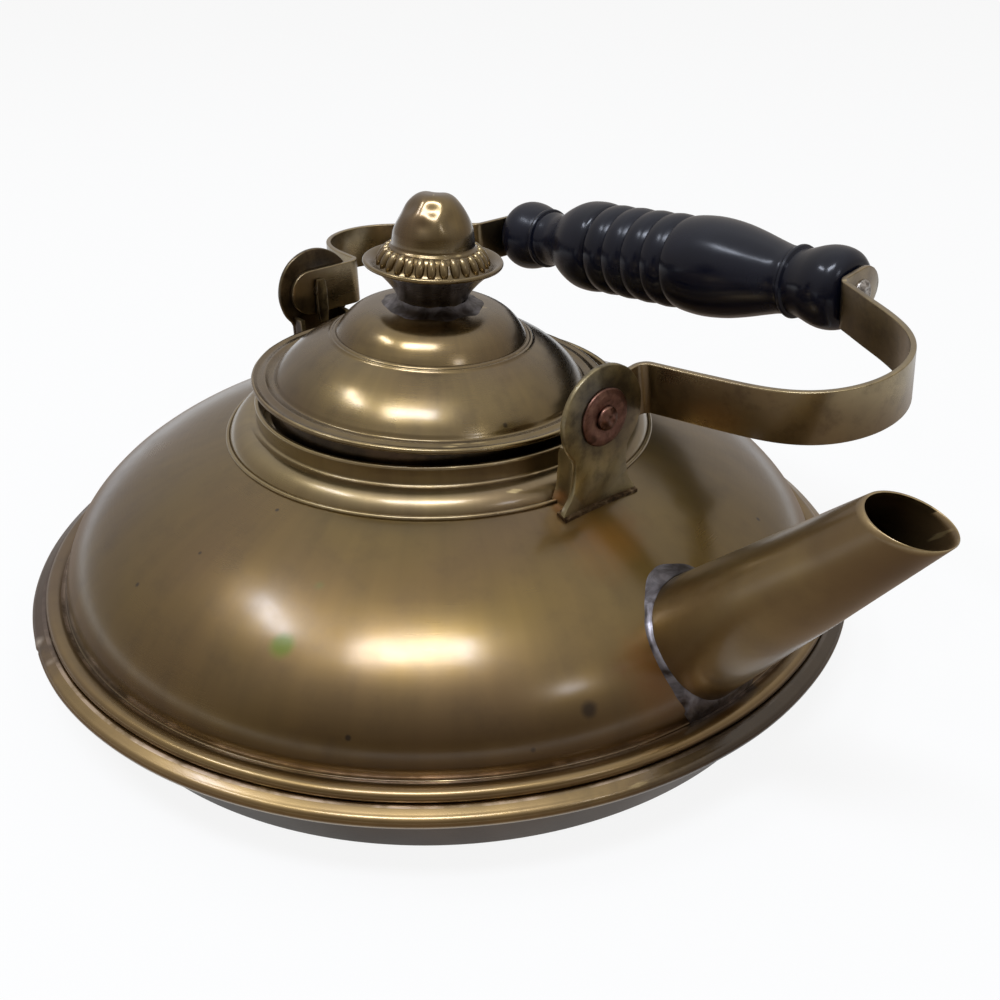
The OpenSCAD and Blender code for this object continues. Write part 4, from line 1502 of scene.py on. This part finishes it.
    def build_solder(self, material: Material) -> None:
        """The smear of solder round the knob's foot.

        Args:
            material: its finish.
        """
        h, r = self.foot_h, self.neck_r
        line = [(r + 0.1, h + 3.0), (r + 0.7, h + 2.3), (r + 1.6, h + 1.7), (r + 2.6, h + 1.35),
                (r + 3.6, h + 1.05), (r + 4.4, h + 0.7), (r + 4.6, h - 0.2), (r + 0.1, h - 0.2)]

        def shift(place: Vector) -> Vector:
            """The smear's ragged edge and lumps.

            Args:
                place: the point, in millimetres.

            Returns:
                How far the point moves.
            """
            flat = Vector((place.x, place.y, 0))
            reach = max(0.0, flat.length - r - 0.6)
            return (flat.normalized() * reach * 0.32 * ruffle(flat.normalized() * 9, 2.6, 5.0)
                    + Vector((0, 0, 0.3 * ruffle(place, 3.6, 2.0))))

        dress(to_object(turned(line, 144), "knob_solder_ring", self.frame(), shift, 60), Body.LID,
              "solder", material, "knob_solder")

    def build(self, brass: Material, knob: Material, dark: Material, solder: Material) -> None:
        """Build the lid and its knob.

        Args:
            brass: finish of the lid.
            knob: finish of the knob.
            dark: finish of the skirt, a brass painted near black as the painted shade in the gap under the
                brim.
            solder: finish of the solder round the knob's foot.
        """
        self.build_shell(brass)
        self.build_skirt(dark)
        self.build_saucer(knob)
        self.build_beads(knob)
        self.build_cap(knob)
        self.build_solder(solder)


# ---------------------------------------------------------------- studio


@dataclass
class Studio:
    """Pale floor, soft lamps and the camera of the photograph."""

    camera_place: Point3 = (215.76, -160.56, 178.32)
    azimuth: float = 50.0
    elevation: float = 28.8
    roll: float = -0.45
    lens: float = 39.6

    def build_camera(self) -> None:
        """Set the camera where the photograph was taken."""
        data = bpy.data.cameras.new("camera")
        data.lens, data.sensor_width, data.clip_start = self.lens, 36.0, 0.01
        camera = bpy.data.objects.new("camera", data)
        az, el, roll = (math.radians(v) for v in (self.azimuth, self.elevation, self.roll))
        right = Vector((math.cos(az), math.sin(az), 0))
        back = Vector((math.sin(az) * math.cos(el), -math.cos(az) * math.cos(el), math.sin(el)))
        up = back.cross(right)
        side = right * math.cos(roll) + up * math.sin(roll)
        top = up * math.cos(roll) - right * math.sin(roll)
        turn = Matrix((side, top, back)).transposed().to_4x4()
        camera.matrix_world = Matrix.Translation(Vector(self.camera_place) * MM) @ turn
        bpy.context.scene.collection.objects.link(camera)
        bpy.context.scene.camera = camera

    def build_world(self) -> None:
        """A soft room: white to the eye and in reflections, dimmer as a light."""
        world = bpy.data.worlds.new("room")
        bpy.context.scene.world = world
        world.use_nodes = True
        tree = world.node_tree
        tree.nodes.clear()
        rays = add(tree, "LightPath")
        seen = rays.outputs["Is Camera Ray"]
        for kind in ("Is Glossy Ray", "Is Transmission Ray"):
            seen = add(tree, "Math", {0: seen, 1: rays.outputs[kind]}, operation="MAXIMUM").outputs[0]
        room = add(tree, "Background", {"Color": (1, 1, 1, 1), "Strength": 0.5})
        white = add(tree, "Background", {"Color": (1, 1, 1, 1), "Strength": 1.0})
        mix = add(tree, "MixShader", {0: seen, 1: room.outputs[0], 2: white.outputs[0]})
        add(tree, "OutputWorld", {"Surface": mix.outputs[0]})

    def build_floor(self) -> None:
        """The pale floor; it keeps a soft shadow and is nearly white to the eye."""
        bm = bmesh.new()
        bmesh.ops.create_grid(bm, x_segments=2, y_segments=2, size=4000.0)
        floor = to_object(bm, "floor")
        floor.location.z = -0.02 * MM
        material = blank_material("matt_white_paper")
        tree = material.node_tree
        rays = add(tree, "LightPath")
        # the camera sees 88 % of the glow, and reflections see 30 %
        mirrored = add(tree, "Math", {0: rays.outputs["Is Glossy Ray"], 1: 0.3}, operation="MULTIPLY")
        part = add(tree, "Math", {0: rays.outputs["Is Camera Ray"], 1: 0.88, 2: mirrored.outputs[0]},
                   operation="MULTIPLY_ADD")
        paper = add(tree, "BsdfDiffuse", {"Color": linear("#e8e8e6")})
        glow = add(tree, "Emission", {"Color": (1, 1, 1, 1), "Strength": 1.0})
        mix = add(tree, "MixShader", {0: part.outputs[0], 1: paper.outputs[0], 2: glow.outputs[0]})
        add(tree, "OutputMaterial", {"Surface": mix.outputs[0]})
        floor.data.materials.append(material)

    def build_reflector(self, name: str, finish: str, rings: Sequence[Point],
                        paint: Callable[[Tree, Socket], tuple[Socket, Union[Socket, Colour]]]) -> None:
        """A felt round the kettle that only reflections see; as the mat it is painted shadow, the kettle's
        shadow on the floor as reflections show it.

        Args:
            name: the piece's name.
            finish: its material's name.
            rings: (radius, height) of its rows of points.
            paint: gives how far the felt has faded out at a place, and its colour there.
        """
        turn = [math.radians(a) for a in range(-180, 180, 8)]
        bm = bmesh.new()
        skin(bm, [[Vector((radius * math.cos(a), radius * math.sin(a), height)) for a in turn]
                  for radius, height in rings])
        piece = to_object(bm, name)
        material = blank_material(finish)
        tree = material.node_tree
        fade, tone = paint(tree, add(tree, "TexCoord").outputs["Object"])
        felt = add(tree, "Emission", {"Color": tone, "Strength": 1.0})
        clear = add(tree, "BsdfTransparent")
        mix = add(tree, "MixShader", {0: fade, 1: felt.outputs[0], 2: clear.outputs[0]})
        add(tree, "OutputMaterial", {"Surface": mix.outputs[0]})
        piece.data.materials.append(material)
        piece.visible_camera = piece.visible_diffuse = piece.visible_shadow = False

    def screen_paint(self, tree: Tree, place: Socket) -> tuple[Socket, Socket]:
        """The screen fades out upwards, and is darker on the photograph's side than elsewhere.

        Args:
            tree: the node tree.
            place: the point on the screen.

        Returns:
            How far it has faded out, and its colour.
        """
        height = add(tree, "SeparateXYZ", {0: place}).outputs["Z"]
        fade = add(tree, "MapRange", {0: height, 1: 0.2, 2: 2.3})
        facing = add(tree, "VectorMath", {0: place, 1: (0.51, -0.43, 0.0)}, operation="DOT_PRODUCT")
        dark = add(tree, "MapRange", {0: facing.outputs["Value"], 1: 0.45, 2: 0.92},
                   interpolation_type="SMOOTHSTEP")
        tone = add(tree, "Mix", {0: dark.outputs[0], 6: linear("#b3aca6"), 7: linear("#7d7162")},
                   data_type="RGBA")
        return fade.outputs[0], tone.outputs[2]

    def floor_shadow_paint(self, tree: Tree, place: Socket) -> tuple[Socket, Colour]:
        """The mat is painted shadow, the kettle's shadow on the floor as reflections show it: one brown
        that fades out at 0.4 m.

        Args:
            tree: the node tree.
            place: the point on the mat.

        Returns:
            How far it has faded out, and its colour.
        """
        away = add(tree, "VectorMath", {0: place}, operation="LENGTH")
        fade = add(tree, "MapRange", {0: away.outputs["Value"], 1: 0.17, 2: 0.42},
                   interpolation_type="SMOOTHSTEP")
        return fade.outputs[0], linear("#988a7e")

    def lamp(self, name: str, place: Point3, size: Point, turn: float, power: float) -> None:
        """One soft box that faces the kettle.

        Args:
            name: the lamp's name.
            place: its place in metres.
            size: its width and height in metres.
            turn: its turn about its own axis, in degrees.
            power: its power in watts.
        """
        data = bpy.data.lights.new(name, "AREA")
        data.shape, data.size, data.size_y, data.energy = "RECTANGLE", size[0], size[1], power
        data.color = linear("#e6eeff")[:3]
        lamp = bpy.data.objects.new(name, data)
        facing = Vector(place).to_track_quat("Z", "Y").to_matrix().to_4x4()
        lamp.matrix_world = (Matrix.Translation(place) @ facing
                             @ Matrix.Rotation(math.radians(turn), 4, "Z"))
        bpy.context.scene.collection.objects.link(lamp)

    def build(self) -> None:
        """Build the whole studio."""
        self.build_camera()
        self.build_world()
        self.build_floor()
        self.build_reflector("screen", "brown_felt_screen",
                             [(1500.0, height) for height in (0.0, 600.0, 1200.0, 1800.0, 2400.0)],
                             self.screen_paint)
        # painted shadow: the mat darkens the floor near the kettle in reflections only
        self.build_reflector("mat", "reflected_floor_shadow", [(118.0, 0.4), (250.0, 0.4), (430.0, 0.4)],
                             self.floor_shadow_paint)
        self.lamp("ceiling_window", (0.285, -0.455, 1.5), (0.74, 0.27), 14.6, 14.5)
        self.lamp("side_window", (-0.574, -0.751, 1.5), (0.48, 0.13), 10.8, 4.9)
        self.lamp("small_lamp", (1.15, 0.0, 0.96), (0.16, 0.16), 0.0, 0.9)


# ---------------------------------------------------------------- the kettle


def build_kettle() -> None:
    """Make the finishes and build each sub-assembly in order."""
    stains_and_painted_reflection = (Mark((43.9, -75.8, 42.0), 3.7, "#4c5412", 0.95, 0.3),
              Mark((39.8, -63.3, 49.5), 1.6, "#4d5a30", 0.4, 0.5),
              Mark((91.9, -33.2, 32.0), 2.6, "#24170c", 0.85, 0.3),
              Mark((77.2, -27.5, 44.2), 0.7, "#241a10", 0.9, 0.3),
              Mark((14.2, -58.2, 55.1), 0.8, "#2b2013", 0.9, 0.3),
              Mark((9.5, -76.1, 48.6), 0.7, "#2b2013", 0.8, 0.3),
              Mark((64.8, -74.3, 29.9), 0.9, "#241a10", 0.9, 0.3),
              # painted reflection: this wide grey-pink patch darkens the lower left of the shoulder, for
              # the dim room that it mirrors there
              Mark((-72.0, -88.0, 18.0), 60.0, "#57443a", 0.5, 0.2),
              Mark((69.0, -6.5, 52.0), 14.0, "#7c5316", 0.75, 0.5),
              Mark((94.0, -16.0, 34.0), 13.0, "#6b4312", 0.75, 0.5))
    # painted shadow: the wide dark patch over the ear's head stands for the shadow round the washer; the
    # small orange and pale marks are stains
    ear_stains_and_painted_shadow = (Mark((61.5, 0.0, 79.0), 16.0, "#2a211a", 0.9, 0.3),
                  Mark((56.0, -8.6, 58.0), 3.2, "#a06a30", 0.7, 0.5),
                  Mark((59.2, -10.2, 56.5), 1.1, "#d9cdb8", 0.9, 0.4))
    # painted shade: the shoulder is painted darker and browner below 25 mm, for the dim floor that it
    # mirrors near the rim
    body = AgedBrass("aged_sheet_brass_buffed", painted_shade_below=25.0, painted_shade_fade=17.0, stain=0.2,
                     marks=stains_and_painted_reflection, rub_radius=101.9, rub_width=0.4)
    # painted reflection: the neck is a paler copy of the body's brass, for the brighter surroundings that
    # its upright wall mirrors
    neck = AgedBrass("aged_sheet_brass_neck_painted_reflection", tarnish="#7d6b4a", rubbed="#8b794e")
    pan = AgedBrass("aged_sheet_brass_grey", tarnish="#3d342b", rubbed="#483e32", roughness=0.36,
                    lacquer=0.3)
    # painted reflection: the two wide dark patches darken the moulding at its sides, for the dim room that
    # it mirrors there; the two small pale marks are wear at the lap joint
    joint = (Mark((-70.0, -95.0, 18.0), 80.0, "#44342d", 0.9, 0.2),
             Mark((112.0, 25.0, 18.0), 80.0, "#33291f", 0.9, 0.2),
             Mark((-24.6, -106.9, 20.0), 2.6, "#cfc3b4", 0.85, 0.7),
             Mark((-14.0, -107.5, 20.3), 1.8, "#b8a894", 0.6, 0.8))
    rim = AgedBrass("aged_brass_moulding_rubbed", tarnish="#6f5a3c", rubbed="#8f7848", wear=1.0,
                    pink="#57443a", clouds=30.0, stain=0.3, marks=joint, rub_radius=106.9, rub_width=0.45)
    spout_finish = AgedBrass("aged_sheet_brass_spout", tarnish="#806a46", rubbed="#907a50", clouds=26.0,
                             roughness=0.36, lacquer=0.7)
    lid_finish = AgedBrass("aged_spun_brass_lid", tarnish="#635232", rubbed="#756138", roughness=0.22,
                           clouds=26.0, stain=0.3)
    # painted shade: the knob's flared foot is painted dark below 92 mm, for the shade under the saucer's
    # rim
    knob_finish = AgedBrass("aged_thin_brass_knob", tarnish="#604f2f", rubbed="#705c35", roughness=0.2,
                            clouds=14.0, blotches=3.0, painted_shade_below=92.0, painted_shade_fade=5.0)
    ear_finish = AgedBrass("aged_cut_brass_ear", tarnish="#8c8060", rubbed="#9b8e63", roughness=0.3,
                           clouds=12.0, blotches=4.0, stain=0.4, lacquer=0.5, marks=ear_stains_and_painted_shadow)
    strap_finish = AgedBrass("aged_brass_strap", tarnish="#78694d", rubbed="#8c7b58", roughness=0.27,
                             clouds=20.0, blotches=5.0, stain=0.35)
    # painted shade: a near-black copy of the brass for pieces that sit in shade, the lid's skirt in the gap
    # under the brim and the far ear seen from its inner side
    shaded_brass_finish = AgedBrass("dark_brown_brass_painted_shade", tarnish="#261c14", rubbed="#35291c", deep="#181009",
                            roughness=0.36, clouds=9.0, blotches=3.0, wear=0.35, stain=0.4, lacquer=0.4)
    solder = DullMetal("soft_tin_solder", "#5f5b5d", "#38312d", "#858184", roughness=0.36, lumps=4.5,
                       relief=0.08).build()
    copper = DullMetal("dull_copper_washer", "#6c4d42", "#4a3429", "#80604f", roughness=0.36, lumps=2.4,
                       relief=0.05).build()
    iron = DullMetal("peened_iron_rod", "#9a948d", "#5c5650", "#cfc9c2", roughness=0.34, lumps=1.2,
                     relief=0.08).build()

    vessel, spout, ears, bail, lid = Vessel(), Spout(), Ears(), Bail(), Lid()
    brass, dark = body.build(), shaded_brass_finish.build()
    vessel.build_pan(pan.build())
    vessel.build_moulding(rim.build())
    vessel.build_shoulder(brass, spout)
    vessel.build_neck(neck.build())
    spout.build_tube(spout_finish.build(), vessel)
    spout.build_solder(solder, vessel)
    ears.build(vessel, ear_finish.build(), dark, copper)
    bail.build(strap_finish.build(), EbonisedWood().build(), iron)
    lid.build(lid_finish.build(), knob_finish.build(), dark, solder)
    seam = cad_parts["ear_solder"]
    seam.data.materials.clear()
    seam.data.materials.append(DullMetal("browned_ear_solder", "#54432f", "#2e2116", "#85735a").build())


def main() -> None:
    """Build the kettle and the studio."""
    logging.basicConfig(level=logging.INFO, format="%(name)s: %(message)s")
    bpy.context.scene.view_settings.view_transform = "Standard"
    build_kettle()
    Studio().build()


if __name__ == "__main__":
    main()
